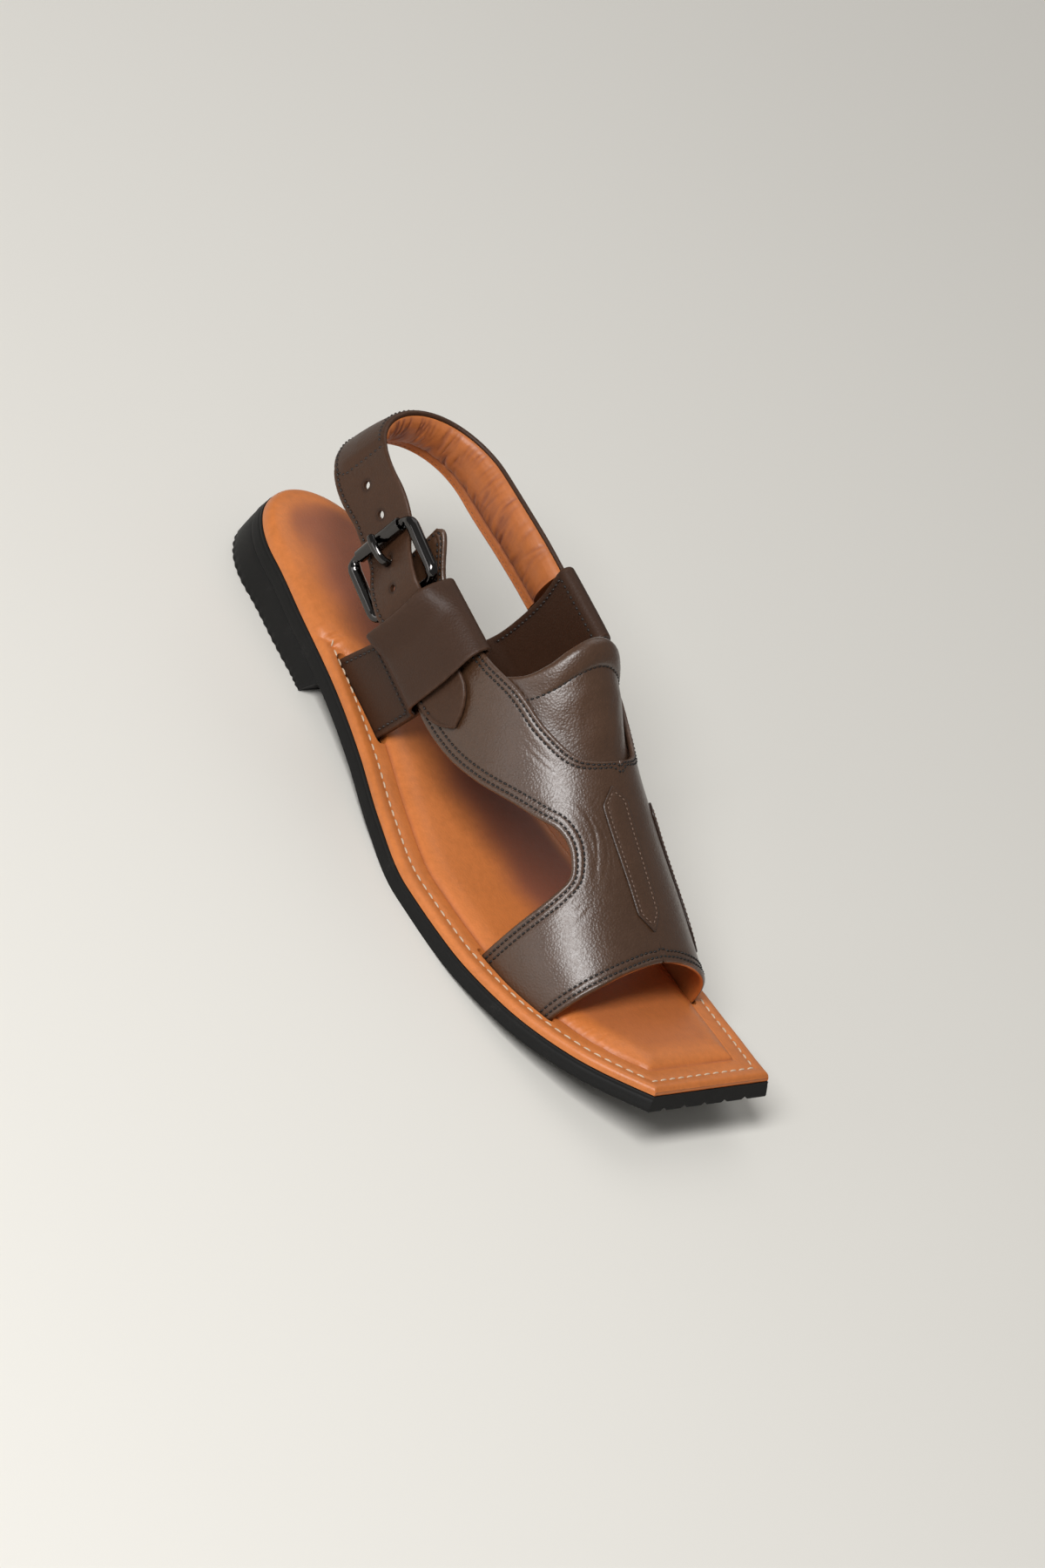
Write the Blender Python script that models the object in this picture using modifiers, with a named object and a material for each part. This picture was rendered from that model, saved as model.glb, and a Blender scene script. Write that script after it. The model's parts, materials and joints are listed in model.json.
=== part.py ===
"""Kohati chappal, right foot: a square-toed leather sandal on a rubber sole.

Every piece is drawn in the shoe's own coordinates and then laid on the curved sole.
station runs along the top of the rubber sole from the heel's back to the toe,
side runs across it (negative is lateral, positive is medial), and height stands
square to the sole. Sizes are in millimetres, and meshes are written in metres.
"""
import math
from collections import namedtuple

import bmesh
import bpy
import numpy as np
from mathutils import Matrix, Vector

# Driving dimensions
MM = 0.001
GAP = 0.3
SOLE_LENGTH = 290.0
SOLE_THICK = 5.8
SOLE_LIP = 1.2
SOLE_STEP = 0.5
BALL_SINK = 0.45
TOE_FLARE = 0.9
HEEL_FLARE = 2.4
HEEL_ROUND = 30.0
BREAST_STATION = 82.0
BREAST_SLANT = 4.0
BREAST_BLEND = 14.0
GROOVE_FIRST = 152.0
GROOVE_LAST = 284.0
GROOVE_PITCH = 9.4
GROOVE_WIDE = 2.6
GROOVE_DEEP = 1.5
GROOVE_SHORT = 5.0
INSOLE_INSET = 0.4
INSOLE_EDGE = 3.2
EDGE_ROUND = 0.6
RIM_WIDE = 11.0
RIM_START = (64.0, 82.0)
PAD_STEP = 2.4
PAD_STEP_WIDE = 4.5
PAD_CROWN = 1.6
PAD_CROWN_REACH = 14.0
SLIT_CLEAR = 0.45
VAMP_WALL = 2.0
PATCH_WALL = 1.1
PATCH_HALF_WIDE = 5.2
PATCH_TIP = 7.0
PATCH_LENGTH = 56.0
PATCH_TURN_PER_MM = 0.0155
TONGUE_WALL = 2.6
TONGUE_CLEAR = 0.5
TONGUE_FOOT = 192.0
TONGUE_SWELL = 1.0
TONGUE_ROLL = 1.6
ROLL_PLACE = 0.08
ROLL_REACH = 0.11
TONGUE_UNDER = (168.0, 177.0)
LOOP_WALL = 1.4
LOOP_SPLIT = 24.0
LOOP_TOP = {"lateral": 66.5, "medial": 74.0}
LOOP_SHIFT = {"lateral": 0.0, "medial": 3.0}
LOOP_SWELL = {"lateral": 4.0, "medial": 0.0}
STRAP_WALL = 1.8
STRAP_BACK = 19.5
STRAP_BACK_HEIGHT = 58.8
STRAP_BACK_HALF = 12.6
STRAP_BACK_LEAN = -0.38
STRAP_TURN = 50.0
STRAP_ARC_POWER = 2.2
STRAP_ARC_STEPS = 18
LEAN_REACH = 9.0
PAD_WALL = 4.4
PAD_MARGIN = 5.0
PAD_INSET = 0.6
PAD_FIRST_STEP = 3
PAD_LAST_ROWS = 2
BUCKLE_WIRE = 2.4
BUCKLE_BAR = 1.5
BUCKLE_HALF_WIDE = 16.0
BUCKLE_CORNER = 4.0
ROLLER_WALL = 0.8
ROLLER_HALF_LONG = 11.2
PRONG_WIRE = 0.8
PRONG_TIP_WIRE = 1.5
PRONG_SLOT = 5.0
TAB_WALL = 1.0
TAB_HALF_WIDE = 7.6
TAB_FRONT = 107.0

# Pitch of the sole's top line, in degrees
Pitch = namedtuple("Pitch", "station angle")
SPINE = [
    Pitch(0, -2.8), Pitch(40, -2.8), Pitch(75, -4.2), Pitch(110, -7.4), Pitch(145, -5.2),
    Pitch(165, -2.0), Pitch(185, 1.0), Pitch(205, 4.5), Pitch(246, 11.5), Pitch(290, 20.5),
]

# Half widths of the sole's outline on its two sides
Outline = namedtuple("Outline", "station lateral medial")
OUTLINE = [
    Outline(0, 23.0, 25.5), Outline(29, 24.0, 26.5), Outline(58, 28.0, 29.0),
    Outline(87, 31.5, 31.5), Outline(116, 36.5, 35.0), Outline(145, 44.0, 39.0),
    Outline(174, 49.5, 43.0), Outline(203, 49.5, 45.5), Outline(232, 46.5, 45.5),
    Outline(261, 38.5, 41.0), Outline(290, 24.0, 32.5),
]

# Sections of the last: half widths at the sole, ridge place and height, roundness
Section = namedtuple("Section", "station lateral medial ridge_side ridge_height power")
LAST = [
    Section(75, 26.5, 25.5, 0.0, 115, 2.60),
    Section(100, 28.0, 27.0, 0.0, 108, 2.50),
    Section(120, 29.5, 28.5, 0.5, 101, 2.40),
    Section(145, 33.0, 31.0, 1.5, 85, 2.20),
    Section(178, 37.5, 33.5, 2.0, 67.5, 1.95),
    Section(200, 39.5, 36.0, 2.0, 56, 2.00),
    Section(222, 38.5, 36.5, 2.0, 44, 2.00),
    Section(250, 33.5, 32.5, 1.5, 26, 2.10),
]

# The vamp's half as a strip bent round its side cut-out, from the sole to the wing's end.
# inner is the cut-out's edge, outer the toe edge, the ridge, the throat and the wing's top.
# turn is 0 at the ridge and 1 at the sole.
Strip = namedtuple("Strip", "inner_station inner_turn outer_station outer_turn")
VAMP = [
    Strip(209, 1.000, 243.8, 1.000), Strip(212, 0.815, 247.6, 0.750), Strip(214, 0.625, 250.0, 0.480),
    Strip(214, 0.500, 250.4, 0.240), Strip(212.5, 0.420, 249.5, 0.0), Strip(208, 0.385, 226, 0.0),
    Strip(202, 0.375, 203, 0.0), Strip(195, 0.405, 180, 0.0), Strip(186, 0.485, 178, 0.160),
    Strip(174, 0.575, 172, 0.265), Strip(158, 0.695, 158, 0.370), Strip(142, 0.790, 142, 0.460),
    Strip(124, 0.855, 124, 0.590), Strip(106, 0.860, 106, 0.660), Strip(91, 0.845, 91, 0.672),
    Strip(79, 0.815, 79, 0.620), Strip(74.5, 0.780, 75, 0.640),
]
THROAT_ROW = 7
LATERAL_ROWS = 16
MEDIAL_ROWS = 13
# The medial cut-out's apex lies lower, by a share of its way to the sole that fades out along the wing
MEDIAL_DROP = 0.38
MEDIAL_FADE = (7, 11)

# Raised patches on the instep, by the middle of their two ends
Patch = namedtuple("Patch", "name rear_station rear_turn front_station front_turn")
PATCHES = [
    Patch("patch_lateral", 188.5, -0.090, 239.5, -0.025),
    Patch("patch_medial", 190.5, 0.345, 238.0, 0.615),
]

# Half breadth of the tongue, as a turn from the ridge
Breadth = namedtuple("Breadth", "station turn")
TONGUE = [
    Breadth(128, 0.60), Breadth(140, 0.56), Breadth(150, 0.50),
    Breadth(165, 0.42), Breadth(180, 0.34), Breadth(192, 0.25),
]

# The tongue's top edge, from its middle out to its sides
Edge = namedtuple("Edge", "across station")
TONGUE_TOP = [Edge(0, 136.0), Edge(0.35, 137.2), Edge(0.6, 138.0), Edge(0.8, 136.0), Edge(1, 129.0)]
TONGUE_ROWS = (0, 0.03, 0.08, 0.14, 0.19, 0.26, 0.36, 0.48, 0.6, 0.72, 0.86, 1.0)

# A loop's strip from its inner foot over the fold to its outer foot, set off from the last
Fold = namedtuple("Fold", "height lateral medial")
LOOP = [
    Fold(0.3, -4.0, -4.0), Fold(12, -3.2, -3.2), Fold(24, -2.3, -2.3), Fold(30, -1.1, -1.1),
    Fold(45, -1.0, -1.0), Fold(56, -1.0, -1.0), Fold(63, -1.0, -1.0), Fold(65.7, 0.0, 0.0),
    Fold(66.5, 2.0, 2.2), Fold(65.7, 4.3, 4.3), Fold(62.6, 7.0, 5.9), Fold(57.5, 8.3, 6.3),
    Fold(50, 8.5, 6.3), Fold(34, 8.3, 6.1), Fold(30, 6.4, 4.8), Fold(27, 3.4, 3.2),
    Fold(24, -0.5, -0.5), Fold(12, -1.4, -1.4), Fold(0.3, -2.2, -2.2),
]


# Rear and front edges of a loop
LoopEdge = namedtuple("LoopEdge", "height rear front")
LOOP_EDGES = [
    LoopEdge(0, 77.5, 112.0), LoopEdge(36, 89.5, 120.0),
    LoopEdge(54, 91.5, 121.5), LoopEdge(66.5, 91.0, 120.0),
]


# The heel strap's middle line along both sides, set off from the last
Run = namedtuple("Run", "station height offset half_wide")
STRAP_LATERAL = [
    Run(136.0, 41.6, 3.4, 0.6), Run(133.5, 41.9, 3.4, 4.4), Run(129.5, 42.5, 3.4, 8.2),
    Run(124.0, 43.2, 3.5, 10.7), Run(119.0, 43.9, 4.4, 11.0), Run(114.5, 44.6, 5.6, 11.0),
    Run(108.0, 45.6, 6.0, 11.0), Run(97.5, 47.5, 6.4, 11.0), Run(95.0, 48.0, 6.8, 11.0),
    Run(93.0, 48.4, 7.7, 11.0), Run(91.0, 48.8, 9.1, 11.0), Run(89.0, 49.2, 10.1, 11.2),
    Run(87.0, 49.5, 10.4, 11.5), Run(84.5, 49.9, 9.9, 11.8), Run(81.0, 50.5, 9.2, 12.0),
    Run(77.0, 51.2, 8.0, 12.2), Run(73.0, 51.9, 6.0, 12.3), Run(69.5, 52.6, 3.9, 12.5),
    Run(65.5, 53.4, 2.75, 12.7), Run(60.0, 55.0, 2.6, 13.0), Run(54.0, 57.0, 2.6, 13.2),
]
STRAP_MEDIAL = [
    Run(55.0, 58.5, 2.6, 12.8), Run(70.0, 58.5, 2.8, 12.6), Run(84.0, 57.8, 3.3, 12.6),
    Run(93.0, 57.2, 3.4, 12.6), Run(102.0, 56.4, 3.4, 12.4), Run(113.0, 55.4, 3.4, 12.0),
]

# Punched holes of the strap
Hole = namedtuple("Hole", "station half_long half_wide")
HOLES = [Hole(44.5, 1.5, 1.5), Hole(57.0, 1.5, 1.5), Hole(73.3, 3.6, 1.8), Hole(83.4, 1.3, 1.3)]

# The strap's lining across its inside, as share of the width above the crease and depth
Swell = namedtuple("Swell", "above depth")
LINING = [
    Swell(0.02, 1.4), Swell(0.18, 3.4), Swell(0.5, PAD_WALL),
    Swell(0.78, 3.8), Swell(0.95, 2.0), Swell(1.0, 1.0),
]

# Buckle bars: the roller's bar and the bar that the tab folds round
ROLLER_BAR = Run(65.2, 53.0, 6.7, BUCKLE_HALF_WIDE)
PIVOT_BAR = Run(87.0, 49.3, 5.8, BUCKLE_HALF_WIDE)

# The prong's bends, back from the pivot bar and out from the plane of both bars
Bend = namedtuple("Bend", "back out wire")
PRONG = [
    Bend(3.4, -2.4, 0.80), Bend(6.5, -2.1, 0.85), Bend(9.5, -1.7, 0.90), Bend(11.6, -1.2, 0.95),
    Bend(13.2, -0.3, 1.0), Bend(14.6, 1.0, 1.1), Bend(15.9, 2.4, 1.2), Bend(17.3, 3.6, 1.3), Bend(19.2, 4.3, 1.4),
]

# The tab's upper layer as it comes down from the bar: forward of the bar, above its lying height
Fall = namedtuple("Fall", "forward above")
TAB_FALL = [Fall(3.3, 1.8), Fall(5.3, 0.6), Fall(7.5, 0.05)]

# Finish: colour, roughness, metallic
Finish = namedtuple("Finish", "colour roughness metallic")
BROWN_LEATHER = Finish((0.060, 0.035, 0.024), 0.42, 0.0)
TAN_LEATHER = Finish((0.470, 0.170, 0.050), 0.40, 0.0)
BLACK_RUBBER = Finish((0.010, 0.010, 0.011), 0.60, 0.0)
GUNMETAL = Finish((0.050, 0.050, 0.055), 0.22, 1.0)


def column(table, name):
    """One named column of a table as an array."""
    return np.array([getattr(row, name) for row in table], float)


def smooth(x, xs, ys):
    """Cubic curve through the points that never overshoots them, held beyond both ends."""
    x = np.clip(np.asarray(x, float), xs[0], xs[-1])
    step = np.diff(xs)
    slope = np.diff(ys) / step
    tangent = np.zeros(len(ys))
    tangent[0], tangent[-1] = slope[0], slope[-1]
    product = slope[1:] * slope[:-1]
    mean = 2 * product / np.where(product > 0, slope[1:] + slope[:-1], 1.0)
    tangent[1:-1] = np.where(product > 0, mean, 0.0)
    i = np.clip(np.searchsorted(xs, x, side="right") - 1, 0, len(step) - 1)
    t = (x - xs[i]) / step[i]
    start = ys[i] * (1 + 2 * t) * (1 - t) ** 2 + ys[i + 1] * t * t * (3 - 2 * t)
    return start + step[i] * (tangent[i] * t * (1 - t) ** 2 - tangent[i + 1] * t * t * (1 - t))


def ease(x, low, high):
    """Smooth step from 0 at low to 1 at high."""
    t = np.clip((np.asarray(x, float) - low) / (high - low), 0, 1)
    return t * t * (3 - 2 * t)


def along(table, name, station):
    """A column of a table read smoothly at any station."""
    return smooth(station, column(table, "station"), column(table, name))


# The spine: the pitch summed along the sole, lowered until the ball rests on the floor
STATIONS = np.arange(-12.0, SOLE_LENGTH + 12.5, 0.5)
PITCH = np.radians(along(SPINE, "angle", STATIONS))
RUN = np.concatenate([[0], np.cumsum(np.cos((PITCH[1:] + PITCH[:-1]) / 2) * 0.5)])
RISE = np.concatenate([[0], np.cumsum(np.sin((PITCH[1:] + PITCH[:-1]) / 2) * 0.5)])
RISE = RISE - (RISE - SOLE_THICK * np.cos(PITCH)).min() - BALL_SINK


def half_width(station, side_sign):
    """Half width of the sole, with the heel's back rounded as a half ellipse."""
    name = "lateral" if side_sign < 0 else "medial"
    wide = along(OUTLINE, name, station)
    back = np.clip(1 - np.asarray(station, float) / HEEL_ROUND, 0, 1)
    return wide * np.sqrt(np.maximum(1 - back ** 2, 0))


BACK_X = np.interp(0, STATIONS, RUN) - HEEL_FLARE
TOE_PITCH = math.radians(SPINE[-1].angle)
FRONT_X = np.interp(SOLE_LENGTH, STATIONS, RUN) + SOLE_THICK * math.sin(TOE_PITCH)
MIDDLE_X = (BACK_X + FRONT_X) / 2
SOLE_STATIONS = np.linspace(0, SOLE_LENGTH, 581)
MIDDLE_Y = (half_width(SOLE_STATIONS, 1).max() - half_width(SOLE_STATIONS, -1).max()) / 2


def place(station, side, height):
    """Point of the model, in millimetres, for a place on the sole."""
    station, side, height = np.broadcast_arrays(station, side, height)
    pitch = np.interp(station, STATIONS, PITCH)
    x = np.interp(station, STATIONS, RUN) - height * np.sin(pitch) - MIDDLE_X
    z = np.interp(station, STATIONS, RISE) + height * np.cos(pitch)
    return np.stack([x, side - MIDDLE_Y, z], axis=-1)


def sole_edge(station, side_sign, grow):
    """Outline point moved outwards by grow, as (station, side)."""
    before = np.maximum(station - 0.4, 0.05)
    after = np.minimum(station + 0.4, SOLE_LENGTH)
    run = after - before
    rise = half_width(after, side_sign) - half_width(before, side_sign)
    size = math.hypot(run, rise)
    side = half_width(station, side_sign) + grow * run / size
    return station - grow * rise / size, side_sign * side


def last_surface(station, turn):
    """Model point on the last; turn is -1 at the lateral sole, 0 at the ridge, 1 at the medial sole."""
    station, turn = np.broadcast_arrays(np.asarray(station, float), np.asarray(turn, float))
    ridge = along(LAST, "ridge_side", station)
    power = along(LAST, "power", station)
    lateral, medial = along(LAST, "lateral", station), along(LAST, "medial", station)
    reach = np.where(turn < 0, -lateral - ridge, medial - ridge)
    angle = np.minimum(np.abs(turn), 1) * math.pi / 2
    side = ridge + reach * np.sin(angle) ** (2 / power)
    rise = along(LAST, "ridge_height", station) * np.cos(angle) ** (2 / power)
    return place(station, side, GAP + rise)


def shell(station, turn, offset):
    """Point off the last along its normal, outwards for a positive offset."""
    turn = np.clip(turn, -0.997, 0.997)
    across = last_surface(station, turn + 0.003) - last_surface(station, turn - 0.003)
    forward = last_surface(station + 0.5, turn) - last_surface(station - 0.5, turn)
    normal = np.cross(forward, across)
    normal /= np.linalg.norm(normal, axis=-1, keepdims=True)
    return last_surface(station, turn) + normal * np.asarray(offset, float)[..., None]


def wall_side(station, height, side_sign):
    """Distance of the last's side wall from the middle line at a height."""
    name = "lateral" if side_sign < 0 else "medial"
    ridge = along(LAST, "ridge_side", station) * side_sign
    reach = along(LAST, name, station) - ridge
    share = np.clip(np.asarray(height, float) / along(LAST, "ridge_height", station), 0, 0.98)
    power = along(LAST, "power", station)
    return ridge + reach * (1 - share ** power) ** (1 / power)


def beside(station, height, side_sign, offset):
    """Point of the model beside the last's wall, offset outwards from it."""
    side = side_sign * (wall_side(station, height, side_sign) + offset)
    return place(station, side, height)


# Mesh helpers
def material(name, finish):
    """A Principled material with a part's colour, roughness and metallic value."""
    found = bpy.data.materials.get(name)
    if found:
        return found
    made = bpy.data.materials.new(name)
    made.use_nodes = True
    shader = made.node_tree.nodes["Principled BSDF"]
    shader.inputs["Base Color"].default_value = (*finish.colour, 1.0)
    shader.inputs["Roughness"].default_value = finish.roughness
    shader.inputs["Metallic"].default_value = finish.metallic
    made.diffuse_color = (*finish.colour, 1.0)
    return made


def add_object(name, data, finish_name, finish, collection):
    """Link an object, with its material, into a collection."""
    made = bpy.data.objects.new(name, data)
    collection.objects.link(made)
    data.materials.append(material(finish_name, finish))
    return made


def mesh_from(name, points, faces):
    """A mesh of points in millimetres, with its faces turned outwards."""
    mesh = bpy.data.meshes.new(name)
    mesh.from_pydata((np.asarray(points) * MM).tolist(), [], faces)
    work = bmesh.new()
    work.from_mesh(mesh)
    bmesh.ops.remove_doubles(work, verts=work.verts, dist=1e-7)
    bmesh.ops.recalc_face_normals(work, faces=work.faces)
    work.to_mesh(mesh)
    work.free()
    mesh.shade_smooth()
    mesh.set_sharp_from_angle(angle=math.radians(35))
    return mesh


def loft(name, rings):
    """A closed solid through rings of equally many points, capped at both ends."""
    count = len(rings[0])
    faces = []
    for row in range(len(rings) - 1):
        for k in range(count):
            a, b = row * count + k, row * count + (k + 1) % count
            faces.append((a, b, b + count, a + count))
    faces.append(tuple(range(count)))
    faces.append(tuple(range((len(rings) - 1) * count, len(rings) * count)))
    return mesh_from(name, np.concatenate(rings), faces)


def sheet_faces(rows, columns, first=0):
    """Quads of a grid of points."""
    return [
        (first + i * columns + j, first + i * columns + j + 1,
         first + (i + 1) * columns + j + 1, first + (i + 1) * columns + j)
        for i in range(rows - 1) for j in range(columns - 1)
    ]


def slab(name, outer, inner):
    """A closed solid between two grids of points of the same size."""
    rows, columns = outer.shape[:2]
    top = sheet_faces(rows, columns)
    under = [face[::-1] for face in sheet_faces(rows, columns, rows * columns)]
    border = [j for j in range(columns)]
    border += [i * columns + columns - 1 for i in range(1, rows)]
    border += [(rows - 1) * columns + j for j in range(columns - 2, -1, -1)]
    border += [i * columns for i in range(rows - 2, 0, -1)]
    rim = []
    for k, a in enumerate(border):
        b = border[(k + 1) % len(border)]
        rim.append((b, a, a + rows * columns, b + rows * columns))
    points = np.concatenate([outer.reshape(-1, 3), inner.reshape(-1, 3)])
    return mesh_from(name, points, top + under + rim)


def thicken(made, wall, offset):
    """Give an open sheet its wall with a Solidify modifier."""
    shell = made.modifiers.new("wall", "SOLIDIFY")
    shell.thickness = wall * MM
    shell.offset = offset
    shell.use_even_offset = True


def cut(made, cutter):
    """Subtract a cutter, which stays hidden, from flat triangles."""
    if not made.modifiers:
        made.modifiers.new("flat faces", "TRIANGULATE")
    work = made.modifiers.new("cut " + cutter.name, "BOOLEAN")
    work.operation = "DIFFERENCE"
    work.solver = "EXACT"
    work.object = cutter


def add_cutter(name, mesh):
    """Link a cutter that isn't part of the model."""
    made = bpy.data.objects.new(name, mesh)
    CUTTERS.objects.link(made)
    made.hide_render = True
    made.display_type = "WIRE"
    return made


def joined_boxes(name, boxes):
    """One cutter mesh from boxes given as eight corners each, lower four first."""
    sides = [(0, 1, 2, 3), (4, 5, 6, 7), (0, 1, 5, 4), (1, 2, 6, 5), (2, 3, 7, 6), (3, 0, 4, 7)]
    faces = [tuple(8 * n + k for k in side) for n in range(len(boxes)) for side in sides]
    return add_cutter(name, mesh_from(name, np.concatenate(boxes), faces))


# Sole
def sole_rows(last_station):
    """Stations along the sole, closer together round the heel's back."""
    round_part = HEEL_ROUND * (1 - np.cos(np.linspace(0.06, 0.92, 9) * math.pi / 2))
    return np.concatenate([round_part, np.linspace(HEEL_ROUND, last_station, 28)])


def add_outsole():
    """Rubber sole with a step under its top edge and cross grooves, short of the sides, under the forefoot."""
    profile = [(0.0, 0.0), (-SOLE_LIP, 0.0), (-SOLE_LIP - SOLE_STEP, SOLE_STEP), (-SOLE_THICK, TOE_FLARE)]
    rings = []
    for station in sole_rows(SOLE_LENGTH):
        ring = []
        for side_sign in (-1, 1):
            corner = [(*sole_edge(station, side_sign, grow), high) for high, grow in profile]
            ring += corner if side_sign < 0 else corner[::-1]
        points = np.array([place(*corner) for corner in ring])
        points[:, 2] = np.maximum(points[:, 2], 0.0)
        rings.append(points)
    made = add_object("outsole", loft("outsole", rings), "black rubber", BLACK_RUBBER, PARTS)
    boxes = []
    for station in np.arange(GROOVE_FIRST, GROOVE_LAST, GROOVE_PITCH):
        lateral, medial = GROOVE_SHORT - half_width(station, -1), half_width(station, 1) - GROOVE_SHORT
        low = np.interp(station, STATIONS, RISE)
        pitch = np.interp(station, STATIONS, PITCH)
        floor = max(-low / math.cos(pitch), -SOLE_THICK)
        corners = []
        for high in (floor - 2 * GROOVE_DEEP, floor + GROOVE_DEEP):
            for step, side in ((-1, lateral), (1, lateral), (1, medial), (-1, medial)):
                corners.append(place(station + step * GROOVE_WIDE / 2, side, high))
        boxes.append(np.array(corners))
    cut(made, joined_boxes("sole grooves", boxes))


def add_heel():
    """Heel block under the sole, flat on the floor, with a slanted breast."""
    rings = []
    for station in sole_rows(BREAST_STATION):
        lean = BREAST_SLANT * ease(station, BREAST_STATION - BREAST_BLEND, BREAST_STATION)
        ring = []
        for side_sign in (-1, 1):
            top = place(*sole_edge(station, side_sign, TOE_FLARE), -SOLE_THICK - GAP)
            foot = place(*sole_edge(station, side_sign, HEEL_FLARE), -SOLE_THICK - GAP)
            foot = np.array([foot[0] - lean, foot[1], 0.0])
            middle = (top + foot) / 2
            ring += [top, middle, foot] if side_sign < 0 else [foot, middle, top]
        rings.append(np.array(ring))
    add_object("heel_block", loft("heel_block", rings), "black rubber", BLACK_RUBBER, PARTS)


OUTLINE_LOOP = np.concatenate([
    np.stack([SOLE_STATIONS, -half_width(SOLE_STATIONS, -1)], -1),
    np.stack([np.full(40, SOLE_LENGTH), np.linspace(-OUTLINE[-1].lateral, OUTLINE[-1].medial, 40)], -1),
    np.stack([SOLE_STATIONS, half_width(SOLE_STATIONS, 1)], -1),
])


def footbed_height(station, side):
    """Top of the insole: a flat stitched rim, a step and a crowned pad."""
    spot = np.stack([np.asarray(station, float), np.asarray(side, float)], -1)
    inside = np.sqrt(((spot[..., None, :] - OUTLINE_LOOP) ** 2).sum(-1)).min(-1) - INSOLE_INSET
    rim = RIM_WIDE * ease(station, *RIM_START)
    step = ease(inside, rim, rim + PAD_STEP_WIDE) * PAD_STEP
    crown = PAD_CROWN * (1 - np.exp(-np.maximum(inside - rim, 0) / PAD_CROWN_REACH))
    edge = EDGE_ROUND * (1 - ease(inside, 0, 1.5 * EDGE_ROUND))
    return INSOLE_EDGE + step + crown - edge


def add_insole():
    """Tan footbed in one solid, with the slits that the straps go down into."""
    rings = []
    toe_rows = SOLE_LENGTH - np.array([12.5, 11, 8, 4, 0.9, 0.0])
    for station in np.concatenate([sole_rows(SOLE_LENGTH - 16), toe_rows]):
        ends = [sole_edge(station, side_sign, -INSOLE_INSET) for side_sign in (-1, 1)]
        rim = RIM_WIDE * ease(station, *RIM_START)
        inset = np.array([0.0, 0.9, 0.55 * rim + 1.2, rim + 1.4, rim + 2.6, rim + 4.2, rim + 7.5, rim + 14.0])
        half = (ends[1][1] - ends[0][1]) / 2
        inset = inset * min(1.0, 0.86 * half / inset[-1])
        middle = (ends[0][1] + ends[1][1]) / 2
        sides = np.concatenate([ends[0][1] + inset, [middle], ends[1][1] - inset[::-1]])
        spots = np.linspace(ends[0][0], ends[1][0], len(sides))
        top = place(spots, sides, footbed_height(spots, sides))
        base = place(np.array([ends[1][0], ends[0][0]]), sides[[-1, 0]], GAP)
        rings.append(np.concatenate([top, base]))
    made = add_object("insole", loft("insole", rings), "tan leather", TAN_LEATHER, PARTS)
    for side_sign, word in ((-1, "lateral"), (1, "medial")):
        cut(made, vamp_slit(side_sign, word))
        cut(made, loop_slit(side_sign, word))


def slit(name, spans):
    """A thin cutter through the insole along (station, near side, far side) rows."""
    rings = []
    for station, near, far in spans:
        corners = ((near, -1.5), (far, -1.5), (far, 9.0), (near, 9.0))
        rings.append(np.array([place(station, side, high) for side, high in corners]))
    return add_cutter(name, loft(name, rings))


def vamp_slit(side_sign, word):
    """Slit for the vamp's foot on one side."""
    first, last = VAMP[0].inner_station - 2 * GAP, VAMP[0].outer_station + 6 * GAP
    spans = []
    for station in np.linspace(first, last, 7):
        wall = wall_side(station, 0.0, side_sign)
        near, far = wall - SLIT_CLEAR, wall + VAMP_WALL + SLIT_CLEAR
        spans.append((station, side_sign * near, side_sign * far))
    return slit("vamp slit " + word, spans)


def loop_slit(side_sign, word):
    """Slit for the two feet of a loop on one side."""
    inner, outer = getattr(LOOP[0], word), getattr(LOOP[-1], word)
    first = LOOP_EDGES[0].rear + LOOP_SHIFT[word] - 2 * GAP
    last = LOOP_EDGES[0].front + LOOP_SHIFT[word] + 8 * GAP
    spans = []
    for station in np.linspace(first, last, 6):
        wall = wall_side(station, 0.0, side_sign)
        near, far = wall + inner - LOOP_WALL, wall + outer + LOOP_WALL
        spans.append((station, side_sign * near, side_sign * far))
    return slit("loop slit " + word, spans)


# Upper
def vamp_grid(side_sign, last_row, rows_each=3, columns=8):
    """Places on the last, station and turn, over one half of the vamp."""
    row = np.linspace(0, last_row, last_row * rows_each + 1)
    index = np.arange(len(VAMP), dtype=float)
    edge = {name: smooth(row, index, column(VAMP, name)) for name in Strip._fields}
    if side_sign > 0:
        edge["inner_turn"] += MEDIAL_DROP * (1 - edge["inner_turn"]) * (1 - ease(row, *MEDIAL_FADE))
    share = np.linspace(0, 1, columns)
    station = edge["inner_station"][:, None] * (1 - share) + edge["outer_station"][:, None] * share
    turn = edge["inner_turn"][:, None] * (1 - share) + edge["outer_turn"][:, None] * share
    return station, side_sign * turn


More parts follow.
